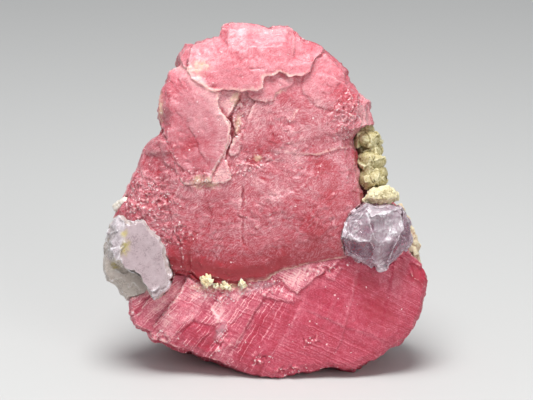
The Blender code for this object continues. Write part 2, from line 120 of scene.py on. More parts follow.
# Ledges in the cavity: outline, the w they fill it up to, and how much paler they are.
CAVITY_FILLS = [
    ([(-14.5, 30.5), (-6.6, 30.5), (-7, 28.4), (-7.3, 26.5), (-8.2, 25), (-9.3, 22.5), (-9.9, 21.5),
      (-12, 20.5), (-14.5, 24)], 10.2, 0.1),
    ([(-6.9, 30.5), (2, 30.5), (0.5, 27.6), (-2.4, 25.6), (-3.6, 22.6), (-5, 18.6), (-6.2, 16.2),
      (-8.2, 17.4), (-9, 20), (-9.1, 22.5), (-8, 25), (-7.1, 26.5)], 8.9, 0.04),
]
# The left-hand plate's lower edge. The broad face rises to PLATE_FOOT_W along it, by no more than
# PLATE_FOOT_MOST and over PLATE_FOOT_WIDTH. What lies further back than PLATE_FOOT_LOWEST stays.
PLATE_FOOT = [
    (-26.6, 21), (-25.2, 16.3), (-23.6, 10), (-22, 4.6), (-19, 4), (-15.6, 4.2),
]
PLATE_FOOT_W = 10.9
PLATE_FOOT_WIDTH = 4.2
PLATE_FOOT_MOST = 2.5
PLATE_FOOT_LOWEST = 4
# Steps, raised on the left of the line's direction: line, height and reach.
UPPER_LEDGES = [
    ([(24.4, 14.2), (19.1, 13.2), (14.1, 11.7), (8.4, 11.9), (5, 12.3)], -0.3, 5),
    ([(-9.2, 11), (-5.4, 9.7), (-2.2, 9), (0.6, 9.8), (2, 8.2), (2.4, 6.2)], -0.45, 3),
    ([(-21.4, 20.4), (-18.7, 16.6), (-17.4, 12.6), (-15, 9)], 0.4, 4),
    ([(6.6, 22.4), (4.6, 21), (5.4, 18.6)], 0.45, 2.5),
    ([(-28, 10.6), (-24.2, 8), (-22, 5.6)], 0.4, 4),
    ([(-24, -6.4), (-22.4, -11), (-22, -18)], 0.55, 5),
    ([(-3.6, 26.2), (-5.2, 19.6), (-6.4, 15.2), (-6.9, 12)], 0.35, 5),
    ([(12, 7), (9, 3.4), (4, 1), (-2, 0.4)], 0.3, 5),
    ([(20, 4), (14, -1), (10, -6.4)], 0.25, 5),
    ([(-16.4, 3), (-14, -4), (-15.6, -10)], 0.3, 5),
]
LOWER_LEDGES = [
    ([(-9.5, -40.6), (-0.7, -26), (1.2, -23)], 0.6, 9),
    ([(-0.7, -43.4), (5.4, -35.4), (9.6, -26.7)], 0.3, 5),
    ([(16.8, -41.9), (19.5, -37.9), (20.9, -32.8), (22.9, -24.7), (23.8, -19.3)], 0.3, 5),
    ([(-26, -38.6), (-20, -30)], 0.35, 3),
    ([(-24, -36.6), (-18, -31.6)], -0.4, 3),
    ([(-20.7, -40.4), (-13.6, -33.6), (-10.8, -28.4)], 0.35, 4),
    ([(-11.6, -41.4), (-8, -36)], 0.35, 1.6),
    ([(-10.2, -41.2), (-6.2, -36.4)], -0.35, 1.6),
    ([(-34.9, -32.2), (-33, -29.3), (-29.9, -25.1), (-28.4, -22.4)], 0.8, 6),
    ([(9.2, -28.7), (15.7, -31.2), (21.4, -33.8), (27.9, -35.7), (32.4, -38)], 0.22, 3),
    ([(37, -17.6), (38.4, -20.4), (42.6, -23.4)], 0.6, 4),
    ([(-16.4, -25.6), (-13.2, -30.3), (-10.8, -33.2)], -0.3, 2.5),
]
# Cracks: line, depth and half width.
CRACKS = [
    ([(-26, -19.2), (-20.6, -19.5), (-19.6, -20.2)], 1.6, 0.4),
    ([(-9.3, 19.4), (-9.2, 16.4), (-10.2, 13.4), (-11.2, 10.8), (-13.9, 6.9), (-14.5, 4.9)], 1, 0.33),
    ([(-12.4, 24.4), (-10.4, 21.6), (-9.3, 19)], 1, 0.35),
    ([(-6.3, 3.6), (-6.1, 0.5), (-6.3, -3.2)], 1.1, 0.3),
    ([(-6.2, -4.6), (-6.4, -8.6), (-6, -12)], 0.5, 0.24),
    ([(-20.4, -13.6), (-20.3, -18.8)], 0.6, 0.28),
    ([(-15.2, 29.3), (-13, 29.6)], 0.8, 0.3),
    ([(-6.6, 17.6), (-6.3, 14.8), (-7.2, 12)], 0.5, 0.25),
    ([(4.6, 21.2), (5.6, 19.9)], 0.8, 0.35),
]
# Bright lines of split cleavage on the lower face: line, half width and strength.
BRIGHT_LINES = [
    ([(9.2, -28.7), (15.7, -31.2), (21.4, -33.8), (27.9, -35.7), (32.4, -38)], 0.35, 0.3),
    ([(23.7, -19), (23, -21.6), (22.7, -26.7), (22.6, -31.2)], 0.22, 0.36),
    ([(22.7, -26), (20.5, -31.2)], 0.2, 0.3),
    ([(9.6, -26.7), (5.4, -35.4), (-0.7, -43.4)], 0.22, 0.34),
    ([(-9.5, -40.6), (-0.7, -26)], 0.22, 0.34),
    ([(-12, -41), (-8, -36.6)], 0.26, 0.55),
    ([(-10.4, -41.4), (-6, -36.4)], 0.26, 0.55),
    ([(-25.7, -36.3), (-15.1, -24.6)], 0.2, 0.34),
    ([(-19, -37.8), (-9, -26.4)], 0.18, 0.3),
    ([(-16, -26), (-13.2, -30.3), (-10.8, -33.2)], 0.3, 0.5),
    ([(-21.4, -21.4), (-33, -32.6)], 0.25, 0.25),
    ([(26.4, -20.4), (30.8, -27.6), (33.6, -33.6)], 0.18, 0.22),
    ([(13.4, -22.6), (13.8, -27.4), (12.4, -33)], 0.18, 0.24),
    ([(0.6, -45.6), (3.4, -42.2), (7.2, -39.6)], 0.2, 0.3),
]
# The lit rims of the upper face's thin plates: line, half width and strength.
RIMS = [
    ([(-18.5, 31.4), (-14, 28.8), (-9, 29), (-6, 28.5), (-2.2, 29), (-1.3, 29.8), (-0.9, 32.2), (1.5, 33),
      (3.5, 33.8), (6, 32.5), (9.1, 32.7), (11.1, 33.9)], 0.2, 1),
    ([(-23.3, 34.6), (-21.2, 34.8), (-20.2, 33.2), (-18, 32.6), (-16.8, 30.6), (-15, 28.6), (-12.4, 27.6),
      (-13, 25.8), (-12.6, 24.4), (-10.4, 21.2), (-9.6, 18.5), (-9.8, 16), (-10.7, 13.3)], 0.22, 1),
    ([(-11.4, 10.9), (-14, 7.3), (-14.6, 5.4)], 0.18, 1),
    ([(5.6, 29.3), (3.6, 28.6), (2, 27.1), (1.6, 26.2)], 0.18, 1),
    ([(24.4, 14.6), (19.1, 13.6), (14.1, 12.1), (8.4, 12.3)], 0.14, 1),
    ([(8.6, 24.2), (7.2, 22.6), (6.4, 20.6)], 0.14, 1),
    ([(-5.6, -20.8), (0, -20.2), (1.2, -19.2), (4, -18.1), (8, -17.3), (12, -16.4), (16, -15.7),
      (20.6, -14.9)], 0.26, 1),
]
# Zones and patches: the middle's u and v, two radii and a turn in degrees. The upper face is sugary,
# crumpled or calm in places and rubble lies along the seam. The others shift the colour.
CALM_PATCHES = [
    (-19, 20, 9.5, 15.5, 8),
]
SUGAR_ZONES = [
    (-31.5, 0, 9, 9, 30), (-24, -9, 6, 4), (-7.5, 22, 2.8, 7.5, -12), (22, 22, 5, 9), (-4, 9, 7, 3, 15),
    (-18.5, 6, 6, 2.5),
]
CRUMPLED_ZONES = [
    (-2, -4, 9, 7), (-20, 14, 4, 8, 20), (10, 8, 9, 5, 10), (-27, 2, 9, 10), (14, -6, 7, 5), (19, 20, 5, 8),
]
RUBBLE_ZONES = [
    (-3, -23.6, 7, 1.6, 4), (1, -23, 3.6, 2, 30), (15, -18.4, 8, 1.6, 12), (-14, -24.5, 7, 2.6, -20),
    (-12.6, -37.5, 1.6, 4.6, -32), (11.6, -37.2, 2.4, 1.8), (-1.6, -42.4, 3, 1.5, 20),
    (6.5, -45, 5, 1.4, 4), (-28, -36, 2.6, 2),
]
CHALK_PATCHES = [
    (7.6, -20.4, 6, 2.2, 22), (-17.4, -24.6, 3.4, 2, -30), (-5.8, -24.8, 3.4, 1.4, 10),
    (-25.4, -31, 1.2, 3.4, -36), (-12, -30, 1.8, 2.8, 20), (14.6, -22.4, 4, 1.6),
    (-26.4, -25.8, 6.6, 2.6, 48),
]
DEEP_PATCHES = [
    (-16.8, -35.8, 3.8, 4.4, 40), (-0.8, 14.8, 5.6, 2.6, 24), (20.5, 27.5, 4.4, 3, -30), (-31, 9.6, 4, 3),
    (4.6, 26.6, 2.6, 1.8, 30), (-20.4, 14, 2.2, 2.4), (4.6, 33, 1.6, 1.2), (25.6, -22, 4, 3.4),
    (19.4, 23.6, 3.6, 2, -10), (40, -20.6, 2.6, 1.8, -40), (14.6, 9, 5, 1.8, 10), (-24.4, -14, 2.4, 4.4),
    (-9, -18.8, 11, 2.2), (18, 1.8, 5, 5), (13, -7.4, 4.6, 2.8), (-15.4, -17, 6, 2.6, -8),
    (-5.8, -14.4, 3.4, 3.2), (-21, -9.8, 2.6, 3), (-5.6, -39.4, 2.6, 3.6, -35), (-1, -33, 2.6, 4.6, -30),
    (-22.6, -33.6, 1.6, 3, -36), (-3, 10.4, 2.4, 2), (29, -29, 6, 4),
]
# The pale patch at (-16.4, 27.2), on the left-hand plate's top, is a painted highlight.
PALE_PATCHES = [
    (-12, 5.4, 3.4, 3.6), (-16.6, 36, 5, 3.4), (25, 16.8, 3.4, 4), (-16.4, 27.2, 9, 2.6, -57),
    (-21.6, 34, 3.4, 2.4, -30), (-9.6, 25.6, 2, 3, -20), (-2, 44.6, 9, 1.8), (7.6, 41, 2.4, 3.4),
    (-16.4, 40.6, 5.4, 1.8, 8), (-18.6, 23, 3.4, 7, 24), (-18, -4.4, 3.4, 3), (2, 1, 5, 2, 20),
    (16, 37, 4.4, 2.6, -45), (12.2, 24.4, 2.8, 3.8), (-6.6, -6.6, 3.8, 3, 20), (26.4, 22.4, 1.8, 4.4),
    (7, 12.4, 3, 3), (-1.8, 4.6, 1.8, 2.8), (-24.8, -3.2, 2.2, 2.2), (6, 31.6, 3.6, 1.8, 20),
]
# Painted highlight: the pale band inside the left-hand plate's broken edge, where light falls on its top.
# Line, half width and strength.
LIT_PALE_BAND = [
    ([(-22.4, 33.4), (-19.6, 32.2), (-16.4, 29.4), (-14, 26), (-12.2, 22), (-11.4, 18), (-12, 13.6)], 1.7,
      0.2),
]
# Painted highlight: a greyish-lilac sheen on the lower face near the seam.
MAUVE_SHEEN_PATCHES = [
    (-2, -22.8, 5, 1.6, 10), (-12.4, -35, 1.2, 3, -30),
]
CREAM_PATCHES = [
    (-17.6, 34.6, 3, 2), (-8.2, 26.6, 1, 2.6, -20), (-16.8, 5.2, 3, 1.3), (-12.4, -22.8, 8, 1.3),
    (-2.4, 11, 1.2, 1), (-27.8, 24, 0.8, 5), (-16, 4, 4, 1), (-7.6, 19.8, 1, 3.6, -14),
]


# ---- axes and falloffs

def to_crystal(metres):
    """World metres, n by 3, to (u, v, w) in millimetres."""
    return (metres / MM - CRYSTAL_ORIGIN) @ AXES


def to_world(crystal):
    """(u, v, w) in millimetres, n by 3, to world metres."""
    return (crystal @ AXES.T + CRYSTAL_ORIGIN) * MM


def smooth(x, low, high):
    """0 below low and 1 above high, with an even step between them."""
    t = np.clip((x - low) / (high - low), 0, 1)
    return t * t * (3 - 2 * t)


def patch(p, centre_u, centre_v, radius_u, radius_v, degrees=0):
    """1 in the middle of an ellipse on the broad face, fading to 0 past its rim."""
    turn = math.radians(degrees)
    u = p[:, 0] - centre_u
    v = p[:, 1] - centre_v
    along = (u * math.cos(turn) + v * math.sin(turn)) / radius_u
    across = (v * math.cos(turn) - u * math.sin(turn)) / radius_v
    return 1 - smooth(np.hypot(along, across), 0.45, 1.25)


def patches(p, spots, waver=0, size=1, seed=0):
    """The strongest of several patches, whose rims may waver."""
    if waver:
        p = p + waver * noise(p, size, seed)[:, None]
    return np.max([patch(p, *spot) for spot in spots], axis=0)


def signed_distance(p, line):
    """Distance from a line on the broad face, positive on the left of its direction."""
    nearest = np.full(len(p), 1e9)
    signed = np.zeros(len(p))
    for (start_u, start_v), (end_u, end_v) in zip(line, line[1:]):
        side_u = end_u - start_u
        side_v = end_v - start_v
        from_u = p[:, 0] - start_u
        from_v = p[:, 1] - start_v
        along = np.clip((from_u * side_u + from_v * side_v) / (side_u ** 2 + side_v ** 2), 0, 1)
        away = np.hypot(from_u - along * side_u, from_v - along * side_v)
        left = np.where(side_u * from_v < side_v * from_u, -1, 1)
        signed = np.where(away < nearest, away * left, signed)
        nearest = np.minimum(nearest, away)
    return signed


def line_distance(p, line):
    return np.abs(signed_distance(p, line))


def end_taper(p, line, reach=3):
    """0 at the two ends of a line and 1 away from them."""
    taper = np.ones(len(p))
    for end_u, end_v in (line[0], line[-1]):
        taper *= smooth(np.hypot(p[:, 0] - end_u, p[:, 1] - end_v), 0, reach)
    return taper


def inside(p, outline):
    """Whether each point lies in an outline on the broad face."""
    crossings = np.zeros(len(p), bool)
    for (start_u, start_v), (end_u, end_v) in zip(outline, outline[1:] + outline[:1]):
        if start_v == end_v:
            continue
        spans = (p[:, 1] < start_v) != (p[:, 1] < end_v)
        crossing_u = start_u + (p[:, 1] - start_v) * (end_u - start_u) / (end_v - start_v)
        crossings ^= spans & (p[:, 0] < crossing_u)
    return crossings


def sheet(p, outline, softness=0.16):
    """1 in an outline and 0 out of it, with a steep edge."""
    away = line_distance(p, outline + outline[:1])
    return smooth(np.where(inside(p, outline), away, -away), -softness, softness)


def ledge(p, line, height, reach):
    """A step up on the left of a line, which dies away over its reach."""
    away = signed_distance(p, line)
    step = smooth(away, -0.15, 0.15) * np.exp(-(np.maximum(away, 0) / reach) ** 1.5)
    return height * step * end_taper(p, line)


def crack(p, line, depth, width):
    return -depth * np.exp(-(line_distance(p, line) / width) ** 2) * (0.3 + 0.7 * end_taper(p, line, 1.5))


# ---- solid patterns

def cell_numbers(cell, seed, count):
    """Up to seven numbers from 0 to 1 for each whole-numbered cell, n by 3, the same in each run."""
    x, y, z = (cell[:, i].astype(np.uint64) for i in range(3))
    bits = x * np.uint64(0x9E3779B97F4A7C15) ^ y * np.uint64(0xC2B2AE3D27D4EB4F)
    bits = bits ^ (z * np.uint64(0x165667B19E3779F9) + np.uint64(seed * 2654435761))
    for shift, factor in ((30, 0xBF58476D1CE4E5B9), (27, 0x94D049BB133111EB)):
        bits = (bits ^ (bits >> np.uint64(shift))) * np.uint64(factor)
    bits = bits ^ (bits >> np.uint64(31))
    return [((bits >> np.uint64(9 * i)) & np.uint64(511)).astype(float) / 511 for i in range(count)]


def line_number(which, seed):
    """A repeatable number from 0 to 1 for each whole number."""
    zero = np.zeros_like(which)
    return cell_numbers(np.stack((which, zero, zero), 1), seed, 1)[0]


def noise(p, size, seed):
    """Smooth noise from about -1 to 1, with lumps of the given size."""
    q = p / size
    cell = np.floor(q)
    part = q - cell
    cell = cell.astype(np.int64)
    ease = part * part * part * (part * (part * 6 - 15) + 10)
    total = np.zeros(len(p))
    for corner in np.ndindex(2, 2, 2):
        away = part - corner
        slopes = cell_numbers(cell + np.array(corner), seed, 3)
        value = sum((2 * slope - 1) * away[:, i] for i, slope in enumerate(slopes))
        total += value * np.prod(np.where(corner, ease, 1 - ease), axis=1)
    return total * 1.6


def three_noises(p, size, seeds):
    """A noise for each of three seeds, side by side, n by 3."""
    return np.stack([noise(p, size, seed) for seed in seeds], 1)


def fractal(p, size, seed, octaves=3):
    """Noise with finer, weaker noise on it."""
    total = np.zeros(len(p))
    for octave in range(octaves):
        total += noise(p + 13.7 * octave, size / 2 ** octave, seed + octave) * 0.5 ** octave
    return total


def scattered(p, size, seed, count):
    """For each cell round about: the way from the cell's point, its length squared, the cell's numbers."""
    q = p / size
    cell = np.floor(q).astype(np.int64)
    for corner in np.ndindex(3, 3, 3):
        here = cell + (np.array(corner) - 1)
        numbers = cell_numbers(here, seed, count)
        away = q - here - np.stack(numbers[:3], 1)
        yield away, (away ** 2).sum(1), numbers


def facets(p, size, seed, tilt, step):
    """Broken crystal faces: each cell is a plane with a tilt and a height of its own."""
    nearest = np.full(len(p), 1e9)
    height = np.zeros(len(p))
    for away, square, numbers in scattered(p, size, seed, 7):
        leans = sum((numbers[3 + i] - 0.5) * away[:, i] for i in range(3))
        height = np.where(square < nearest, 2 * tilt * size * leans + step * (numbers[6] - 0.5), height)
        nearest = np.minimum(nearest, square)
    return height


def pebbles(p, size, seed):
    """Round grains packed side by side: how far each point stands out of the gaps between them."""
    nearest = np.full(len(p), 1e9)
    for _, square, _ in scattered(p, size, seed, 3):
        nearest = np.minimum(nearest, square)
    return size * np.sqrt(np.clip(0.7 - nearest, 0, 1))


def stepped(x, size, seed):
    """A run of flat steps along x, each at a height of its own from -0.5 to 0.5."""
    cell = np.floor(x / size).astype(np.int64)
    blend = smooth(x / size - cell, 1 - min(0.5, 0.25 / size), 1)
    return line_number(cell, seed) * (1 - blend) + line_number(cell + 1, seed) * blend - 0.5


def treads(x, rise, seed):
    """How far to move along x to land on the nearest of a run of uneven levels."""
    level = np.floor(x / rise).astype(np.int64)
    part = x / rise - level
    before, here, after = (0.2 + 0.6 * line_number(level + i, seed) for i in (-1, 0, 1))
    landing = np.where(part < here, 0.5 * (before - 1 + here), 0.5 * (here + 1 + after))
    return (landing - part) * rise


def cleaved_blocks(p, n, rise, seed):
    """The move along the normal that breaks a surface into flat faces on the cleavage planes.

    Also returns a number from 0 to 1 for each face, to vary its colour.
    """
    bent = p + 0.16 * rise * three_noises(p, 2.6 * rise, range(seed, seed + 3))
    mosaic = facets(p, 3 * rise, seed + 12, 0, 2.4 * rise)
    facing = n + 0.28 * three_noises(p, 4 * rise, range(seed + 3, seed + 6))
    best = np.zeros(len(p))
    move = np.zeros(len(p))
    level = np.zeros(len(p))
    for number, plane in enumerate(CLEAVAGE_PLANES):
        toward = np.abs(facing @ plane)
        height = bent @ plane + mosaic
        slide = treads(height, rise, seed + 6 + number)
        step = np.round((height + slide) * 4).astype(np.int64)
        chosen = toward > best
        best = np.maximum(best, toward)
        across = n @ plane
        slide = slide / np.where(across < 0, -1, 1) / np.maximum(np.abs(across), 0.45)
        move = np.where(chosen, slide, move)
        level = np.where(chosen, line_number(step, seed + 9 + number), level)
    return np.clip(move, -0.55 * rise, 0.55 * rise), level


# ---- mesh helpers

def vectors(source, name):
    found = np.empty(len(source) * 3, np.float32)
    source.foreach_get(name, found)
    return found.reshape(-1, 3).astype(float)


def positions(mesh):
    return vectors(mesh.vertices, "co")


def normals(mesh):
    return vectors(mesh.vertex_normals, "vector")


def move_to(mesh, places):
    mesh.vertices.foreach_set("co", places.astype(np.float32).ravel())
    mesh.update()


def store(mesh, **zones):
    """Keep values for each vertex, for the material to read."""
    for name, values in zones.items():
        vector = values.ndim == 2
        layer = mesh.attributes.new(name, "FLOAT_VECTOR" if vector else "FLOAT", "POINT")
        layer.data.foreach_set("vector" if vector else "value", values.astype(np.float32).ravel())


def placed(name, data):
    """A new object in the scene."""
    item = bpy.data.objects.new(name, data)
    bpy.context.scene.collection.objects.link(item)
    return item


def with_modifier(mesh, kind, **settings):
    """The mesh after one modifier."""
    holder = placed("holder", mesh)
    modifier = holder.modifiers.new(kind.lower(), kind)
    for setting, value in settings.items():
        setattr(modifier, setting, value)
    depsgraph = bpy.context.evaluated_depsgraph_get()
    made = bpy.data.meshes.new_from_object(holder.evaluated_get(depsgraph))
    bpy.data.objects.remove(holder)
    return made


def seam_cutter():
    """A block that holds everything above the seam."""
    bm = bmesh.new()
    rings = []
    for w in (60, SEAM_FRONT_W, -60):
        climb = SEAM_CLIMB * max(SEAM_FRONT_W - w, 0)
        outline = [(u, v + climb) for u, v in SEAM] + [(44, 90), (-44, 90)]
        rings.append([bm.verts.new((u, v, w)) for u, v in outline])
    for front, back in zip(rings, rings[1:]):
        for i, vert in enumerate(front):
            bm.faces.new((front[i - 1], vert, back[i], back[i - 1]))
    bm.faces.new(rings[0])
    bm.faces.new(rings[-1])
    bmesh.ops.recalc_face_normals(bm, faces=bm.faces)
    mesh = bpy.data.meshes.new("seam_cutter")
    bm.to_mesh(mesh)
    bm.free()
    return placed("seam_cutter", mesh)


def crystal_copy(node):
    """A copy of a CAD node's mesh on the crystal axes, in millimetres."""
    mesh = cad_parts[node].data.copy()
    mesh.materials.clear()
    move_to(mesh, to_crystal(positions(mesh)))
    return mesh


def fine_copy(mesh, voxel):
    """An even, fine mesh of the same solid."""
    return with_modifier(mesh, "REMESH", mode="VOXEL", voxel_size=voxel)


def thinned(mesh):
    """The mesh with no more triangles than a piece may have."""
    mesh.calc_loop_triangles()
    share = MOST_TRIANGLES / len(mesh.loop_triangles)
    return with_modifier(mesh, "DECIMATE", ratio=share) if share < 1 else mesh


def neighbours(mesh):
    """A function that gives the mean of a value over each vertex's neighbours."""
    pairs = np.empty(len(mesh.edges) * 2, np.int32)
    mesh.edges.foreach_get("vertices", pairs)
    first, second = pairs.reshape(-1, 2).T
    count = len(mesh.vertices)
    links = np.maximum(np.bincount(first, minlength=count) + np.bincount(second, minlength=count), 1)

    def around(values):
        total = np.bincount(first, values[second], count) + np.bincount(second, values[first], count)
        return total / links
    return around


def relaxed(mesh, p, share, rounds):
    """The points after each has moved a share of the way to its neighbours' mean, so many times."""
    around = neighbours(mesh)
    for _ in range(rounds):
        p = p + share[:, None] * (np.apply_along_axis(around, 0, p) - p)
    return p


def store_edges(mesh, limit, blurs, share=1):
    """Keep how far each vertex stands out from its neighbours: 1 at the limit, in millimetres."""
    p = positions(mesh)
    around = neighbours(mesh)
    out = ((p - np.apply_along_axis(around, 0, p)) * normals(mesh)).sum(1)
    for _ in range(blurs):
        out = 0.5 * out + 0.5 * around(out)
    store(mesh, edge=np.clip(out / limit, -1, 1) * share)


def finished_piece(name, mesh, node, material):
    """Stand the mesh back in the world, inside the CAD model's box, as the piece for a node."""
    lowest, highest = (np.array(corner) for corner in cad_box)
    margin = BOX_MARGIN * MM
    places = to_world(positions(mesh))
    move_to(mesh, np.clip(places, lowest + (margin, margin, 0), highest - margin))
    mesh.materials.append(material)
    mesh.shade_smooth()
    piece = placed(name, mesh)
    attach(piece, BODY)
    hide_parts(node)


# ---- the pink crystals

def above_seam(p):
    """How far each point lies above the seam between the two crystals."""
    climb = SEAM_CLIMB * np.maximum(SEAM_FRONT_W - p[:, 2], 0)
    return p[:, 1] - np.interp(p[:, 0], *zip(*SEAM)) - climb


def raggedness(p, front):
    """A small sideways push that breaks up straight edges and leaves the front's level alone."""
    push = 0.34 * three_noises(p, 1.7, (21, 23, 25)) + 0.11 * three_noises(p, 0.7, (22, 24, 26))
    push[:, 2] *= 1 - front
    return push


def upper_relief(p, grain):
    """The broad upper face: soft waves, small broken steps and a crumpled skin."""
    relief = 0.32 * fractal(p, 16, 1, 2)
    crumple = smooth(noise(p, 9, 19) + 0.4 * noise(p, 4, 20), -0.35, 0.45)
    crumple = np.maximum(0.2 + 0.6 * crumple, patches(p, CRUMPLED_ZONES))
    skin = facets(p * (1, 1.3, 0.5), 1.9, 26, 0.16, 0.1)
    relief += crumple * (skin + 0.1 * fractal(p, 2.6, 4)) + 0.1 * noise(p, 5.5, 29)
    shingle = (0.5 * p[:, 0] + 0.86 * p[:, 1]) / 6.5 + 0.9 * noise(p, 9, 8)
    relief += 0.16 * (shingle - np.floor(shingle)) * smooth(noise(p, 8, 9), -0.2, 0.5)
    lip = 1 - 0.75 * smooth(p[:, 0], -1, 9)
    relief += lip * (1 - smooth(above_seam(p), 0.2, 2.6))
    crumbs = 0.45 * grain + 0.45 * facets(p, 0.75, 48, 0.7, 0.25)
    return relief + crumbs * patches(p, SUGAR_ZONES, 1, 3, 5)


def lower_relief(p, steep, shallow, grain):
    """The cleaved lower face: steep parallel steps, fine striations and rubble under the seam."""
    fade = 0.5 + 0.5 * np.clip(1.6 * noise(p, 9, 10), -1, 1)
    relief = 0.3 * fractal(p, 15, 30, 2)
    relief += 0.3 * stepped(steep, 5.3, 11) * fade + 0.16 * stepped(steep, 1.4, 12) * fade
    relief += 0.12 * stepped(shallow, 1.7, 14) * (1.2 - fade) + 0.08 * stepped(shallow, 0.8, 15)
    relief += 0.05 * fractal(p, 1.2, 16, 2)
    crumbs = 0.7 * grain + 0.5 * facets(p, 0.75, 48, 0.7, 0.25)
    return relief + crumbs * patches(p, RUBBLE_ZONES, 0.7, 2, 27)


def across_fan(p):
    """How far across the fan of steep lines each point lies, in millimetres."""
    foot = p[:, 0]
    for _ in range(4):
        angle = np.radians(np.clip(FAN_ANGLE + FAN_GROWTH * foot, 25, 110))
        foot = p[:, 0] - (p[:, 1] - FAN_V) / np.tan(angle)
    return 0.86 * foot


def cleavage_lines(p):
    """How far across the steep and the shallow lines each point lies, in millimetres."""
    bend = 0.7 * noise(p, 13, 9)
    fan = 0.006 * np.clip(p[:, 0] - 14, 0, 40) ** 2 * smooth(p[:, 1], -38, -18)
    return across_fan(p) + 0.3 * bend, p[:, :2] @ SHALLOW + fan + 0.5 * bend


def add_features(p, relief, is_lower):
    """Put a face's sheets, ledges and cracks on its relief, and say how much paler they are."""
    paler = np.zeros(len(p))
    for outline, height, tone in LOWER_SHEETS if is_lower else UPPER_SHEETS:
        share = sheet(p, outline)
        relief += height * share
        paler += tone * share
    for line, height, reach in LOWER_LEDGES if is_lower else UPPER_LEDGES:
        relief += ledge(p, line, height, reach)
    for line, depth, width in CRACKS:
        relief += crack(p, line, depth, width)
    return paler


def broken_surface(p, n, grain, rough):
    """The cleaved and crumbling sides and back, and a number from 0 to 1 for each block of them."""
    rear = smooth(-p[:, 2], 0, 7)
    blocks, block = cleaved_blocks(p, n, 3.6, 81)
    steps = cleaved_blocks(p, n, 1.2, 91)[0]
    broken = (0.15 + 0.75 * rear) * blocks + (0.15 + 0.15 * rear) * steps
    broken += (0.2 + 0.3 * rear) * fractal(p, 11, 17, 2) + (0.12 + 0.28 * rough) * grain
    return broken - 0.2 - 0.2 * rear, block


def sculpt_pink(p, n, is_lower):
    """How far the surface of a pink crystal moves out, and the zones that its material reads."""
    front = smooth(n[:, 2], 0.2, 0.6)
    rough = smooth(noise(p, 8, 28), 0, 0.5)
    grain = facets(p, 2.4, 6, 0.4, 0.35) + facets(p * (1, 0.8, 1), 1.1, 7, 0.55, 0.2)
    steep, shallow = cleavage_lines(p)
    relief = lower_relief(p, steep, shallow, grain) if is_lower else upper_relief(p, grain)
    paler = add_features(p, relief, is_lower)
    broken, block = broken_surface(p, n, grain, rough)
    sugar = 0 if is_lower else patches(p, SUGAR_ZONES)
    # Painted light: the top of the upper face is made lighter, as the overhead light falls on it.
    painted_top_light = front * (not is_lower) * smooth(p[:, 1], 24, 31)
    calm = np.maximum(painted_top_light, (not is_lower) * patches(p, CALM_PATCHES))
    tone = pink_tone(p, front, is_lower, calm) + front * paler + 0.5 * (1 - front) * (block - 0.6)
    return front * relief + (1 - front) * broken, dict(
        front=front,
        lower=np.full(len(p), float(is_lower)),
        sugar=np.clip(sugar + (0.25 + 0.4 * rough) * (1 - front), 0, 1),
        rubble=patches(p, RUBBLE_ZONES) * is_lower * front,
        mauve_sheen=patches(p, MAUVE_SHEEN_PATCHES, 0.9, 2, 34) * is_lower * front,
        left_lines=0.06 + 0.94 * smooth(6 - across_fan(p), -2, 6),
        painted_top_light=painted_top_light,
        rim=front * (not is_lower) * thin_lines(p, RIMS),
        cream=patches(p, CREAM_PATCHES, 0.6, 1.5, 33) * front,
        steep=steep, shallow=shallow, calm=calm, tone=tone,
    )


def thin_lines(p, lines):
    """How strongly each point is drawn over by thin lines that waver a little."""
    drawn = np.zeros(len(p))
    waver = p + 0.25 * three_noises(p, 1.4, (46, 47, 49))
    for line, width, strength in lines:
        fade = 0.2 + 0.8 * end_taper(p, line, 2)
        drawn = np.maximum(drawn, strength * fade * np.exp(-(line_distance(waver, line) / width) ** 2))
    return drawn


def lower_tone(p, front, wander):
    left = smooth(7 - across_fan(p), -4, 6)
    tone = 0.3 + 0.12 * left + (0.04 + 0.07 * left) * stepped(across_fan(p), 1.9, 44)
    tone += front * thin_lines(p, BRIGHT_LINES) * (0.6 + 0.4 * np.clip(2 * noise(p, 2.2, 50), -1, 1))
    tone += 0.12 * smooth(-6 - p[:, 0], -2, 8)
    tone += 0.18 * left * stepped(across_fan(p), 0.7, 45)
    return tone + 0.18 * patches(wander, CHALK_PATCHES)


def upper_tone(p, front):
    right = smooth(p[:, 0], 0, 16)
    # The pale band along the left-hand plate's edge is a painted highlight.
    shift = thin_lines(p, LIT_PALE_BAND) - 0.09 * patches(p, CALM_PATCHES)
    # Painted shade: deeper towards the bottom of the broad face. The small drop at the top offsets part of
    # its painted light.
    shift -= 0.09 * smooth(2 - p[:, 1], -4, 8) + 0.05 * smooth(p[:, 1], 24, 31)
    shift -= 0.06 * smooth(p[:, 0], 4, 14) * smooth(p[:, 1], 6, 14)
    # Painted shade: the lip above the seam deepens where it curls under, less so to the right.
    shift -= (0.38 - 0.27 * right) * (1 - smooth(above_seam(p), 0.5, 8))
    # Painted light and shade: paler towards the top of the face, deeper towards its bottom.
    return 0.5 + 0.05 * np.clip(p[:, 1] / 20, -1, 1) + front * shift


def pink_tone(p, front, is_lower, calm):
    """The depth of the pink, from 0, raspberry, to 1, pale salmon."""
    wander = p + 1.3 * three_noises(p, 3.5, (41, 42, 43))
    tone = lower_tone(p, front, wander) if is_lower else upper_tone(p, front)
    tone += front * (0.16 * patches(wander, PALE_PATCHES) - 0.22 * patches(wander, DEEP_PATCHES))
    mottle = 0.16 * fractal(p, 5.5, 31, 4) + 0.05 * noise(p, 0.9, 37)
    return tone + (0.5 if is_lower else 1 - 0.45 * calm) * mottle


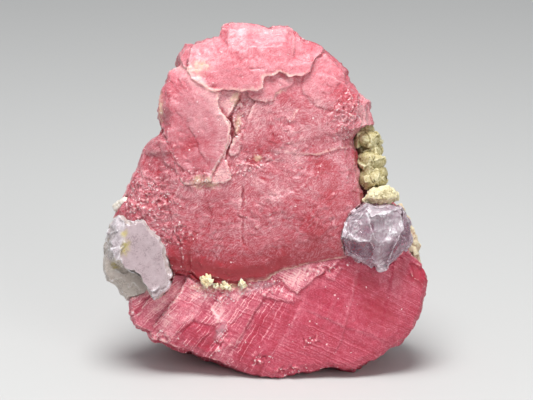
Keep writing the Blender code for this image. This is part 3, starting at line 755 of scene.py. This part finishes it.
def lifted_parts(p, zones):
    """How far the plate's foot and the cavity's ledges rise along w. The zones gain the ledges."""
    lift = np.clip(PLATE_FOOT_W - p[:, 2], 0, PLATE_FOOT_MOST) * (p[:, 2] > PLATE_FOOT_LOWEST)
    lift *= np.exp(-(line_distance(p, PLATE_FOOT) / PLATE_FOOT_WIDTH) ** 2) * end_taper(p, PLATE_FOOT, 4)
    for outline, level, tone in CAVITY_FILLS:
        share = sheet(p, outline) * (p[:, 2] < level) * (p[:, 2] > 0)
        lift += share * (level - p[:, 2])
        zones["tone"] += tone * share
        zones["front"] = np.maximum(zones["front"], share)
    return lift


def pink_crystal(name, operation, material):
    """One of the two intergrown crystals: what lies above the seam, or what lies below it."""
    cutter = seam_cutter()
    mesh = with_modifier(crystal_copy("rhodochrosite"), "BOOLEAN", operation=operation, object=cutter)
    bpy.data.objects.remove(cutter)
    mesh = fine_copy(mesh, VOXEL_PINK)
    p = positions(mesh)
    n = normals(mesh)
    move, zones = sculpt_pink(p, n, operation == "DIFFERENCE")
    lift = lifted_parts(p, zones)
    store(mesh, crystal=p, **zones)
    front = zones["front"]
    p = p + raggedness(p, front) + n * move[:, None] + np.outer(lift, OUTWARD)
    p = relaxed(mesh, p, 0.5 * (1 - front), REAR_ROUNDS)
    move_to(mesh, p)
    store_edges(mesh, 0.05, 3, 0.25 + 0.75 * smooth(np.abs(above_seam(p)), 0.3, 1.6))
    finished_piece(name, thinned(mesh), "rhodochrosite", material)


# ---- the fluorites

# Each face is a plane: outline, the (u, v) and the w of one of its points, its slopes along u and v,
# and its shade, from 0, deep violet, to 1, nearly clear.
RIGHT_FLUORITE_FACES = [
    ([(18, -9.6), (18, -6), (20.3, -1.9), (26.2, 1.4), (27.1, -4.5), (27.7, -7.7), (26.7, -10.6),
      (24, -10.9), (21.5, -10)], (27, -7), 12.9, (0.5, -0.12), 0.64),
    ([(27, -4.4), (29.8, -4.2), (32.5, -3.3), (35.2, -2), (35.7, -7.5), (34, -10.6), (31, -11), (29, -10.8),
      (27.7, -8)], (28, -6), 12.4, (-0.14, 0.06), 0.7),
    ([(26.2, 1.4), (35.4, 1.4), (35.2, -2), (32.5, -3.3), (29.8, -4.2), (27, -4.4)], (30, -3.8), 13.5,
      (-0.1, -0.95), 0.84),
    ([(17, -10), (21.5, -10), (24, -10.9), (26.7, -10.6), (27.5, -13), (28.2, -18.4), (24, -17.6),
      (19.6, -15.4)], (27, -11), 11, (0.35, 0.45), 0.34),
    ([(27.7, -8), (29, -10.8), (31, -11), (34, -10.6), (32.3, -14.6), (30.4, -20), (28.2, -18.4),
      (27.5, -13), (26.7, -10.6)], (30, -11), 11.8, (-0.12, 0.68), 0.66),
    ([(35.7, -0.6), (40, -5.5), (40, -11), (34, -19), (30.6, -20), (32.3, -14.6), (34.6, -10.6),
      (35.7, -7.5)], (35, -9), 10.2, (-0.85, 0.25), 0.48),
]
# Where the right-hand fluorite is whiter, partly milk-white and partly painted highlight on lit ridges and
# edges, and where it is deepest in colour.
RIGHT_MILKY_AND_LIT = [
    (30.2, -3.7, 2.9, 0.7, 6), (23.4, -10.2, 3.6, 0.5, -8), (32.6, -8.6, 2.4, 1.5, 42),
    (26.6, -3.4, 0.8, 2.2, 8), (29.6, -17, 1.8, 1.4), (20.4, -7.4, 1, 2.2, -10), (35.2, -5.6, 0.5, 2.6, 4),
    (24.6, -15.6, 3.4, 0.6, -28),
]
RIGHT_DEEP = [
    (27.4, -12.6, 1, 2.5), (23, -13, 2.9, 1.6, -15), (32.8, -12.8, 2.7, 1.1, 50), (25.4, -8.2, 1.8, 1.3),
    (32.2, -1.9, 1.3, 0.7), (27.7, -6.6, 0.6, 2.2, 8), (36.6, -8.6, 1, 3, -20),
]
LEFT_PLATE_FACE = [
    (-37.8, -8.6), (-36.4, -6.4), (-35, -7.2), (-34, -6.2), (-32.6, -5.4), (-31.5, -6.6), (-29, -8.2),
    (-26.6, -10.4), (-26.4, -14), (-25.4, -17), (-24.6, -19.8), (-25.4, -22.5), (-27.2, -25.4),
    (-29.6, -27), (-30.3, -24.6), (-31.8, -22.5), (-33, -20.1), (-36, -19), (-37.6, -17.6), (-38.2, -14),
    (-36.9, -11),
]
LEFT_STAINS = [
    (-36.9, -12.4, 1.5, 2.4), (-39.6, -16.8, 1.5, 1.6), (-37.4, -9, 0.9, 0.9),
]


def facet_faces(p, faces):
    """The moves along w that bring each point onto a crystal's flat faces, and the faces' shades."""
    move = np.zeros(len(p))
    shade = np.full(len(p), 0.5)
    for outline, (point_u, point_v), point_w, (slope_u, slope_v), face_shade in faces:
        within = inside(p, outline)
        plane = point_w + slope_u * (p[:, 0] - point_u) + slope_v * (p[:, 1] - point_v)
        move = np.where(within, plane - p[:, 2], move)
        shade = np.where(within, face_shade, shade)
    return move, shade


def right_broken_share(p):
    """How broken the right-hand fluorite is: on its left and round its rim."""
    left = smooth(25 - p[:, 0] + 0.5 * noise(p, 1.6, 69), -1, 2) * smooth(p[:, 1], -11, -10)
    rim = smooth(np.hypot((p[:, 0] - 28.5) / 11, (p[:, 1] + 9) / 10.5), 0.78, 0.98)
    return np.maximum(left, 0.8 * rim)


def fluorite_right(material):
    mesh = fine_copy(crystal_copy("fluorite_right"), VOXEL_FLUORITE)
    p = positions(mesh)
    n = normals(mesh)
    front = smooth(n[:, 2], 0.05, 0.35)
    broken = right_broken_share(p)
    along_w, shade = facet_faces(p + 0.5 * three_noises(p, 1.8, (65, 66, 67)), RIGHT_FLUORITE_FACES)
    along_w = front * along_w + 0.08 * fractal(p, 4, 68, 2) + 0.15 * facets(p, 3.4, 58, 0.3, 0.35)
    along_w += 0.06 * stepped(0.5 * p[:, 0] + 0.87 * p[:, 1] + 0.4 * noise(p, 4, 63), 0.9, 64)
    along_w += (0.05 + 0.6 * broken) * facets(p, 1.3, 59, 0.45, 0.3)
    rest = (1 - front) * facets(p, 3.2, 61, 0.35, 0.5)
    wander = p + 0.5 * three_noises(p, 1.6, (60, 62, 70))
    shade = 0.5 + front * (shade - 0.5 - 0.28 * patches(wander, RIGHT_DEEP))
    # These patches are partly milk-white and partly painted highlight.
    milky = front * patches(wander, RIGHT_MILKY_AND_LIT)
    store(mesh, crystal=p, broken=broken * (0.6 + 0.8 * noise(p, 1.5, 57)), shade=shade, milky=milky)
    move_to(mesh, p + 0.6 * raggedness(p, n[:, 2] > 0.1) + n * rest[:, None] + np.outer(along_w, OUTWARD))
    store_edges(mesh, 0.04, 1)
    finished_piece("fluorite_right_crystal", mesh, "fluorite_right", material)


def fluorite_left(material):
    mesh = fine_copy(crystal_copy("fluorite_left"), VOXEL_FLUORITE)
    p = positions(mesh)
    n = normals(mesh)
    front = smooth(n[:, 2], 0.1, 0.5)
    plate = sheet(p, LEFT_PLATE_FACE)
    crumbly = smooth(p[:, 1] + 0.4 * (p[:, 0] + 38), -17.8, -16.2)
    crumbs = (0.15 + 0.27 * crumbly) * facets(p, 1.5, 51, 0.5, 0.3)
    chips = (0.3 + 0.1 * crumbly) * facets(p, 4.2, 52, 0.4, 0.8)
    move = (1 - front * plate) * (crumbs + chips)
    face = 8.9 + 0.05 * (p[:, 0] + 31) + 0.22 * fractal(p, 7, 53, 2) + 0.04 * noise(p, 1.4, 54)
    face += 0.9 * facets(p, 2.2, 56, 0.5, 0.5) * patch(p, -28.4, -24.4, 2.6, 2.2)
    along_w = front * plate * (face - p[:, 2])
    stain = patches(p, LEFT_STAINS, 0.5, 1.3, 55) * front
    store(mesh, crystal=p, stain=stain, plate=plate * front, crumbly=crumbly * front * (1 - plate))
    reach_up = 1.3 * smooth(n[:, 1], 0, 0.5) * patch(p, -35, -6, 5.5, 4)
    p = p + 1.2 * raggedness(p, front) + n * move[:, None] + np.outer(along_w, OUTWARD)
    move_to(mesh, p + np.outer(reach_up, (0.3, 1, 0)))
    store_edges(mesh, 0.06, 2)
    finished_piece("fluorite_left_crystal", mesh, "fluorite_left", material)


# ---- matrix, calcite, grains

# The calcite slab's top edge, the round CAD lump's middle and radii, and the w of the slab's front.
CALCITE_TOP = [
    (25.1, -0.4), (26, 0.8), (27.2, 2.5), (28, 3), (30, 3.6), (32, 4), (33.5, 3), (34.7, 1.5), (35.1, 0),
]
CALCITE_BALL = ((30.1, 1.4), (5, 2.5))
CALCITE_FACE_W = 6.1


def calcite_slab(p):
    """The round CAD lump brought onto the slab's outline and its flat front."""
    (centre_u, centre_v), (radius_u, radius_v) = CALCITE_BALL
    along = np.clip((p[:, 0] - centre_u) / radius_u, -1, 1)
    top = centre_v + radius_v * np.sqrt(1 - along ** 2)
    bottom = centre_v - radius_v
    wanted = np.interp(p[:, 0], *zip(*CALCITE_TOP))
    p = p.copy()
    p[:, 1] += (wanted - top) * np.clip((p[:, 1] - bottom) / (top - bottom + 0.2), 0, 1)
    face = CALCITE_FACE_W + 0.1 * (p[:, 0] - centre_u) - 0.12 * (p[:, 1] - centre_v)
    p[:, 2] = np.minimum(p[:, 2], face + 0.15 * (p[:, 2] - face))
    return p


def rock_piece(node, material, voxel, seed, swell, blocky, grain, shape=None, rounds=0):
    """A CAD node in fine mesh with broken faces, (size, tilt, step), and grains, (size, height)."""
    mesh = fine_copy(crystal_copy(node), voxel)
    if rounds:
        mesh = with_modifier(mesh, "SMOOTH", factor=0.5, iterations=rounds)
    p = positions(mesh)
    if shape:
        p = shape(p)
        move_to(mesh, p)
    size, tilt, step = blocky
    grain_size, grain_height = grain
    grains = pebbles(p, grain_size, seed + 1) / grain_size - 0.5
    move = swell + facets(p, size, seed, tilt, step) + grain_height * grains
    move += 0.05 * fractal(p, 0.8, seed + 2, 2)
    store(mesh, crystal=p)
    move_to(mesh, p + normals(mesh) * move[:, None])
    store_edges(mesh, 0.05, 1)
    finished_piece(node + "_rock", mesh, node, material)


# ---- materials

class Nodes:
    """A short way to write the node tree of a material or of the world."""

    def __init__(self, name, home=bpy.data.materials, shader="Principled BSDF"):
        self.owner = home.new(name)
        self.owner.use_nodes = True
        self.tree = self.owner.node_tree
        self.shader = self.tree.nodes[shader]

    def add(self, kind, inputs=(), **settings):
        node = self.tree.nodes.new(kind)
        for setting, value in settings.items():
            setattr(node, setting, value)
        for socket, value in dict(inputs).items():
            self.put(node.inputs[socket], value)
        return node

    def put(self, socket, value):
        if isinstance(value, bpy.types.NodeSocket):
            self.tree.links.new(value, socket)
        else:
            socket.default_value = value

    def shade(self, **inputs):
        for name, value in inputs.items():
            self.put(self.shader.inputs[name.replace("_", " ")], value)

    def value(self, name):
        return self.add("ShaderNodeAttribute", attribute_name=name).outputs["Fac"]

    def place(self):
        """Where a point lies on the crystal axes, in millimetres."""
        return self.add("ShaderNodeAttribute", attribute_name="crystal").outputs["Vector"]

    def math(self, operation, value, *others):
        """The first value, joined to each of the others in turn."""
        for other in others:
            value = self.add("ShaderNodeMath", {0: value, 1: other}, operation=operation).outputs[0]
        return value

    def times(self, *values):
        return self.math("MULTIPLY", *values)

    def plus(self, *values):
        return self.math("ADD", *values)

    def vector(self, operation, first, second=(0, 0, 0), scale=1):
        """Vector arithmetic. Socket 3 is the scale."""
        inputs = {0: first, 1: second, 3: scale}
        return self.add("ShaderNodeVectorMath", inputs, operation=operation).outputs[0]

    def spread(self, value, low, high, bottom=0, top=1):
        """The value's range from low to high, carried over to bottom to top."""
        inputs = {"Value": value, "From Min": low, "From Max": high, "To Min": bottom, "To Max": top}
        return self.add("ShaderNodeMapRange", inputs).outputs["Result"]

    def ramp(self, value, stops):
        node = self.add("ShaderNodeValToRGB", {"Fac": value})
        while len(node.color_ramp.elements) < len(stops):
            node.color_ramp.elements.new(1)
        for element, (place, colour) in zip(node.color_ramp.elements, stops):
            element.position = place
            element.color = (*colour, 1)
        return node.outputs["Color"]

    def mix(self, share, first, second):
        node = self.add("ShaderNodeMix", data_type="RGBA")
        for socket, value in ((node.inputs[0], share), (node.inputs[6], first), (node.inputs[7], second)):
            self.put(socket, (*value, 1) if isinstance(value, tuple) else value)
        return node.outputs[2]

    def texture(self, vector, scale, detail, rough=0.6):
        inputs = {"Vector": vector, "Scale": scale, "Detail": detail, "Roughness": rough}
        return self.add("ShaderNodeTexNoise", inputs)

    def noise(self, size, detail, rough=0.55):
        return self.texture(self.place(), 1 / size, detail, rough).outputs["Fac"]

    def clouds(self, size, detail, low, high, bottom=0, top=1, rough=0.55):
        """Noise with its range from low to high carried over to bottom to top."""
        return self.spread(self.noise(size, detail, rough), low, high, bottom, top)

    def cells(self, size):
        """A random colour for each cell."""
        return self.add("ShaderNodeTexVoronoi", {"Vector": self.place(), "Scale": 1 / size}).outputs["Color"]

    def bump(self, height, distance, strength, before=None):
        inputs = {"Height": height, "Distance": distance * MM, "Strength": strength}
        if before:
            inputs["Normal"] = before
        return self.add("ShaderNodeBump", inputs).outputs["Normal"]


def glittering(nodes, bumped, size, strength):
    """Tilt each small cell of the surface its own way, so that some of them catch the light."""
    tilt = nodes.vector("SUBTRACT", nodes.cells(size), (0.5, 0.5, 0.5))
    return nodes.vector("NORMALIZE", nodes.vector("ADD", bumped, nodes.vector("SCALE", tilt, scale=strength)))


def striations(nodes, name, size, seed):
    """Fine parallel lines across a stored direction."""
    across = nodes.plus(nodes.times(nodes.value(name), 1 / size), seed)
    inputs = {"W": across, "Scale": 1, "Detail": 2, "Roughness": 0.6}
    return nodes.add("ShaderNodeTexNoise", inputs, noise_dimensions="1D").outputs["Fac"]


def fibres(nodes, angle, length, width, detail=3):
    """Wispy streaks that run at an angle, in degrees, across the broad face."""
    turned = nodes.add("ShaderNodeVectorRotate", {"Vector": nodes.place(), "Angle": math.radians(-angle)},
                       rotation_type="Z_AXIS").outputs[0]
    wander = nodes.add("ShaderNodeTexNoise", {"Vector": nodes.place(), "Scale": 0.12, "Detail": 1})
    moved = nodes.vector("ADD", turned, nodes.vector("SCALE", wander.outputs["Color"], scale=9))
    squeezed = nodes.vector("MULTIPLY", moved, (1 / length, 1 / width, 1 / width))
    return nodes.texture(squeezed, 1, detail).outputs["Fac"]


def pink_tones(nodes):
    """The depth of the pink with mottling, fibres, cleavage lines and painted light and shade on ridges and
    hollows; and the shallow lines alone.
    """
    lower = nodes.value("lower")
    shallow = nodes.spread(striations(nodes, "shallow", 0.42, 3), 0.35, 0.65, -0.5, 0.5)
    shallow = nodes.times(shallow, nodes.clouds(7, 3, 0.4, 0.62), lower)
    steep = nodes.spread(striations(nodes, "steep", 0.55, 40), 0.58, 0.64)
    steep = nodes.times(steep, lower, nodes.clouds(3, 2, 0.42, 0.52), nodes.value("left_lines"))
    mottle = nodes.clouds(1.3, 5, 0.3, 0.7, -0.12, 0.12, 0.65)
    grit = nodes.clouds(0.34, 1, 0.32, 0.68, -0.14, 0.14)
    wisps = nodes.spread(fibres(nodes, 30, 1.6, 0.26), 0.3, 0.7, -0.28, 0.28)
    wisps = nodes.times(wisps, nodes.spread(lower, 1, 0))
    texture = nodes.times(nodes.plus(mottle, grit, wisps), nodes.spread(nodes.value("calm"), 0, 1, 1, 0.5))
    # Painted light and shade: hollows darker, ridges paler.
    edge = nodes.spread(nodes.value("edge"), -1, 1, -0.2, 0.1)
    lines = nodes.plus(nodes.times(shallow, 0.42), nodes.times(steep, 0.48))
    return nodes.plus(nodes.value("tone"), texture, lines, edge), shallow


def painted_glints(nodes, share):
    """Painted highlight: tiny white glint specks over a share of the surface, from 0 to 1."""
    which = nodes.add("ShaderNodeSeparateColor", {0: nodes.cells(0.3)}).outputs[0]
    return nodes.math("GREATER_THAN", nodes.plus(which, share), 1)


def clean_pink(nodes, tone):
    """The colour of the two crystals, by the depth of their pink, with painted light on the top of the upper
    face.
    """
    upper = nodes.ramp(tone, [
        (0, (0.38, 0.026, 0.04)), (0.25, (0.455, 0.082, 0.108)), (0.5, (0.535, 0.19, 0.222)),
        (0.75, (0.66, 0.325, 0.345)), (1, (0.84, 0.5, 0.48)),
    ])
    lower = nodes.ramp(tone, [
        (0, (0.41, 0.024, 0.052)), (0.25, (0.48, 0.055, 0.098)), (0.5, (0.6, 0.13, 0.185)),
        (0.75, (0.76, 0.29, 0.34)), (1, (0.9, 0.52, 0.52)),
    ])
    # Painted light: the top of the upper face is made lighter here.
    inputs = {"Value": nodes.spread(nodes.value("painted_top_light"), 0, 1, 1, 1.26), "Color": upper}
    return nodes.mix(nodes.value("lower"), nodes.add("ShaderNodeHueSaturation", inputs).outputs[0], lower)


def marked_pink(nodes, colour):
    """The colour with a painted greyish-lilac sheen, cream stains, painted highlights on raised edges, pale
    lit rims and painted glint specks on it.
    """
    edge = nodes.value("edge")
    # Painted highlight: a greyish-lilac sheen.
    mauve_sheen = nodes.times(nodes.value("mauve_sheen"), nodes.clouds(1.1, 4, 0.35, 0.6, 0.15, 0.75))
    colour = nodes.mix(mauve_sheen, colour, (0.56, 0.33, 0.37))
    # Painted highlight: raised edges whitened, most at the front.
    painted_edge_light = nodes.times(nodes.spread(edge, 0.4, 1, 0, 0.55), nodes.clouds(0.9, 2, 0.35, 0.6),
                        nodes.spread(nodes.value("front"), 0, 1, 0.3, 1))
    colour = nodes.mix(painted_edge_light, colour, (0.9, 0.68, 0.62))
    cream = nodes.times(nodes.value("cream"), nodes.clouds(1, 3, 0.35, 0.6, 0.1, 0.75))
    colour = nodes.mix(cream, colour, (0.72, 0.52, 0.36))
    rim = nodes.times(nodes.value("rim"), nodes.clouds(1.2, 2, 0.3, 0.55, 0.2, 0.8))
    colour = nodes.mix(rim, colour, (0.96, 0.68, 0.58))
    # The painted glint specks gather on the sugary zones, the rubble and raised edges.
    share = nodes.plus(nodes.times(nodes.value("sugar"), 0.032), nodes.times(nodes.value("rubble"), 0.06),
                       nodes.times(nodes.spread(edge, 0.3, 1), 0.05), 0.0015)
    return nodes.mix(nodes.times(painted_glints(nodes, share), 0.65), colour, (0.95, 0.84, 0.84))


def pink_material():
    nodes = Nodes("rhodochrosite_pink")
    tone, lines = pink_tones(nodes)
    colour = marked_pink(nodes, clean_pink(nodes, tone))
    felt = nodes.bump(nodes.noise(0.5, 3, 0.6), 0.11, 0.55)
    lined = nodes.bump(lines, 0.1, 0.5, felt)
    tilt = nodes.plus(nodes.times(nodes.value("sugar"), 0.45), nodes.times(nodes.value("front"), 0.12))
    nodes.shade(Base_Color=colour, Roughness=nodes.clouds(2.4, 4, 0.3, 0.7, 0.26, 0.48),
                Normal=glittering(nodes, lined, 0.5, tilt), Subsurface_Weight=0.35,
                Subsurface_Radius=(1, 0.28, 0.32), Subsurface_Scale=1.2 * MM, IOR=1.55,
                Specular_IOR_Level=0.45)
    return nodes.owner


# Name, the colours from dark to light, roughness and how dark the painted pit shade is.
ROCK_MATERIALS = [
    ("matrix_olive", (0.16, 0.12, 0.035), (0.43, 0.36, 0.165), (0.74, 0.68, 0.44), 0.55, 0.8),
    ("calcite_cream", (0.28, 0.22, 0.09), (0.64, 0.56, 0.33), (0.84, 0.79, 0.58), 0.6, 0.8),
    ("seam_cream", (0.5, 0.3, 0.16), (0.86, 0.72, 0.42), (0.97, 0.92, 0.74), 0.6, 0),
    ("quartz_white", (0.52, 0.45, 0.38), (0.72, 0.65, 0.57), (0.86, 0.82, 0.77), 0.35, 0),
    ("matrix_rim", (0.36, 0.17, 0.11), (0.6, 0.43, 0.3), (0.82, 0.74, 0.52), 0.8, 0.5),
]


def rock_material(name, dark, mid, light, roughness, pit_shade):
    nodes = Nodes(name)
    # The edge term is painted light and shade: ridges paler, crevices darker.
    tone = nodes.plus(nodes.clouds(2.6, 4, 0.3, 0.7, 0.3, 0.8),
                      nodes.spread(nodes.value("edge"), -1, 1, -0.35, 0.35),
                      nodes.clouds(0.5, 3, 0.3, 0.7, -0.26, 0.26, 0.6))
    colour = nodes.ramp(tone, [(0, dark), (0.45, mid), (1, light)])
    colour = nodes.mix(nodes.spread(nodes.cells(0.45), 0.84, 0.92, 0, 0.45), colour, light)
    # Painted shade: dark spots, placed by noise, stand for the shade in pits.
    if pit_shade:
        deep = nodes.clouds(0.9, 3, 0.66, 0.7, 0, pit_shade, 0.6)
        colour = nodes.mix(deep, colour, tuple(0.25 * part for part in dark))
    fine = nodes.bump(nodes.noise(0.45, 4, 0.65), 0.16, 0.55)
    nodes.shade(Base_Color=colour, Roughness=roughness, Normal=fine, Subsurface_Weight=0.12,
                Subsurface_Radius=(1, 0.8, 0.5), Subsurface_Scale=0.8 * MM)
    return nodes.owner


def fluorite_white(nodes, broken):
    """How white the clear fluorite is: its clouds and flecks, painted highlights on its sharp edges, and
    patches partly milk-white and partly painted highlight.
    """
    cloud = nodes.clouds(2.2, 5, 0.56, 0.7, 0, 0.5, 0.7)
    flecks = nodes.times(nodes.clouds(0.7, 3, 0.48, 0.6, 0, 1, 0.7), nodes.spread(broken, 0, 0.8, 0, 0.6))
    # Painted highlight: sharp edges whitened.
    edge = nodes.times(nodes.spread(nodes.value("edge"), 0.25, 1, 0, 0.95),
                       nodes.clouds(1.4, 2, 0.38, 0.58, 0.3, 1), nodes.spread(broken, 0, 0.6, 0.65, 1))
    milky = nodes.times(nodes.value("milky"), nodes.clouds(0.9, 4, 0.36, 0.58, 0, 1, 0.65))
    return nodes.math("MAXIMUM", cloud, flecks, edge, milky)


def glassy_fluorite():
    nodes = Nodes("fluorite_glassy")
    broken = nodes.value("broken")
    streaks = nodes.spread(fibres(nodes, 68, 2.2, 0.45, 4), 0.3, 0.7, -0.3, 0.3)
    grit = nodes.clouds(0.35, 1, 0.3, 0.7, -0.12, 0.12)
    colour = nodes.ramp(nodes.plus(nodes.value("shade"), streaks, grit), [
        (0, (0.5, 0.26, 0.37)), (0.35, (0.72, 0.48, 0.58)), (0.65, (0.83, 0.67, 0.75)),
        (1, (0.95, 0.9, 0.94)),
    ])
    white = fluorite_white(nodes, broken)
    fine = nodes.bump(nodes.noise(1.6, 4, 0.5), 0.1, 0.4)
    clear = nodes.spread(nodes.value("shade"), 0, 1, 0.84, 0.5)
    clear = nodes.times(clear, nodes.spread(white, 0, 1, 1, 0.1))
    nodes.shade(Base_Color=nodes.mix(white, colour, (0.96, 0.94, 0.97)),
                Roughness=nodes.spread(white, 0, 1, 0.05, 0.35),
                Normal=glittering(nodes, fine, 0.9, nodes.spread(broken, 0, 1, 0.08, 0.4)),
                Transmission_Weight=clear, IOR=1.434)
    return nodes.owner


def cloudy_fluorite():
    nodes = Nodes("fluorite_cloudy")
    crumbly = nodes.value("crumbly")
    haze = nodes.clouds(2.4, 5, 0.35, 0.65, 0, 0.6, 0.65)
    haze = nodes.plus(haze, nodes.clouds(0.36, 2, 0.32, 0.68, 0, 0.4))
    rear = nodes.mix(haze, (0.47, 0.4, 0.35), (0.64, 0.57, 0.52))
    face = nodes.mix(haze, (0.42, 0.315, 0.335), (0.6, 0.49, 0.51))
    crumbs = nodes.mix(haze, (0.42, 0.355, 0.375), (0.7, 0.63, 0.655))
    colour = nodes.mix(nodes.value("plate"), nodes.mix(crumbly, rear, crumbs), face)
    # Painted highlight: raised edges whitened.
    edge = nodes.spread(nodes.value("edge"), 0.2, 1, 0, 0.75)
    colour = nodes.mix(edge, colour, (0.93, 0.91, 0.95))
    stain = nodes.times(nodes.value("stain"), nodes.clouds(0.8, 3, 0.35, 0.6, 0.2, 0.95))
    fine = nodes.bump(nodes.noise(0.7, 2), 0.05, 0.4)
    nodes.shade(Base_Color=nodes.mix(stain, colour, (0.55, 0.46, 0.18)),
                Roughness=nodes.spread(haze, 0, 1, 0.22, 0.38),
                Normal=glittering(nodes, fine, 0.6, nodes.spread(crumbly, 0, 1, 0, 0.35)),
                Transmission_Weight=0.12, IOR=1.434, Subsurface_Weight=0.4,
                Subsurface_Radius=(1, 0.9, 0.95), Subsurface_Scale=1.6 * MM)
    return nodes.owner


# ---- stage, camera

# The camera stands this many millimetres out along w, and sees the photo's width.
CAMERA_DISTANCE = 750
PHOTO_WIDTH_PX = 533
MM_PER_PX = 0.265
SENSOR = 36
# From here on lengths are in metres and powers in watts.
NEAREST_SEEN = 0.05
FLOOR_REACH = 3
FLOOR_COLOUR = (0.55, 0.55, 0.54, 1)
FLOOR_ROUGHNESS = 0.8
# The studio's own light: FLOOR_FAR at the horizon, where it meets the floor, and SKY above SKY_HEIGHT.
FLOOR_FAR = (0.45, 0.455, 0.46)
SKY = (0.75, 0.77, 0.8)
SKY_HEIGHT = 0.35
SKY_STRENGTH = 0.5
# The lamps: name, place, diameter and power. They point at LIT.
LIT = Vector((0, 0, 0.045))
LAMPS = [("overhead", (-0.05, -0.2, 0.75), 0.45, 7), ("front_fill", (0.5, -0.8, 0.35), 0.5, 2.5)]


def camera():
    data = bpy.data.cameras.new("camera")
    data.sensor_width = SENSOR
    data.lens = SENSOR * CAMERA_DISTANCE / (PHOTO_WIDTH_PX * MM_PER_PX)
    data.clip_start = NEAREST_SEEN
    viewer = placed("camera", data)
    viewer.location = Vector(to_world(np.array([[0.0, 0.0, CAMERA_DISTANCE]]))[0])
    viewer.rotation_euler = (math.radians(90) - LEAN, 0, 0)
    bpy.context.scene.camera = viewer


def lamp(name, place, size, power):
    data = bpy.data.lights.new(name, "AREA")
    data.shape = "DISK"
    data.size = size
    data.energy = power
    light = placed(name, data)
    light.location = Vector(place)
    light.rotation_euler = (LIT - Vector(place)).to_track_quat("-Z", "Y").to_euler()


def floor():
    bm = bmesh.new()
    bmesh.ops.create_grid(bm, x_segments=1, y_segments=1, size=FLOOR_REACH)
    mesh = bpy.data.meshes.new("floor")
    bm.to_mesh(mesh)
    bm.free()
    paint = Nodes("floor_paint")
    paint.shade(Base_Color=FLOOR_COLOUR, Roughness=FLOOR_ROUGHNESS)
    mesh.materials.append(paint.owner)
    placed("floor", mesh)


def studio():
    nodes = Nodes("studio", bpy.data.worlds, "Background")
    across = nodes.add("ShaderNodeTexCoord").outputs["Generated"]
    height = nodes.add("ShaderNodeSeparateXYZ", {0: across}).outputs["Z"]
    nodes.shade(Color=nodes.ramp(height, [(0, FLOOR_FAR), (SKY_HEIGHT, SKY)]), Strength=SKY_STRENGTH)
    bpy.context.scene.world = nodes.owner
    bpy.context.scene.view_settings.view_transform = "Standard"


def rocks():
    matrix, calcite, grain, quartz, rim = (rock_material(*row) for row in ROCK_MATERIALS)
    rock_piece("matrix_column", matrix, 0.2, 71, 0.3, (2.3, 0.42, 0.24), (0.5, 0.07), rounds=25)
    rock_piece("matrix_edge", rim, 0.25, 81, 0, (2.4, 0.35, 0.5), (0.7, 0.12))
    rock_piece("calcite_lump", calcite, 0.16, 91, 0, (1.5, 0.34, 0.2), (0.5, 0.08), calcite_slab)
    rock_piece("quartz_crystal", quartz, 0.12, 95, 0.3, (1.8, 0.12, 0.04), (0.6, 0.02), rounds=6)
    for number in range(1, 5):
        rock_piece("seam_grain_%d" % number, grain, 0.1, 100 + 3 * number, -0.15,
                   (0.9, 0.9, 0.7), (0.5, 0.25))


pink = pink_material()
pink_crystal("rhodochrosite_upper", "INTERSECT", pink)
pink_crystal("rhodochrosite_lower", "DIFFERENCE", pink)
fluorite_left(cloudy_fluorite())
fluorite_right(glassy_fluorite())
rocks()
floor()
studio()
for each in LAMPS:
    lamp(*each)
camera()
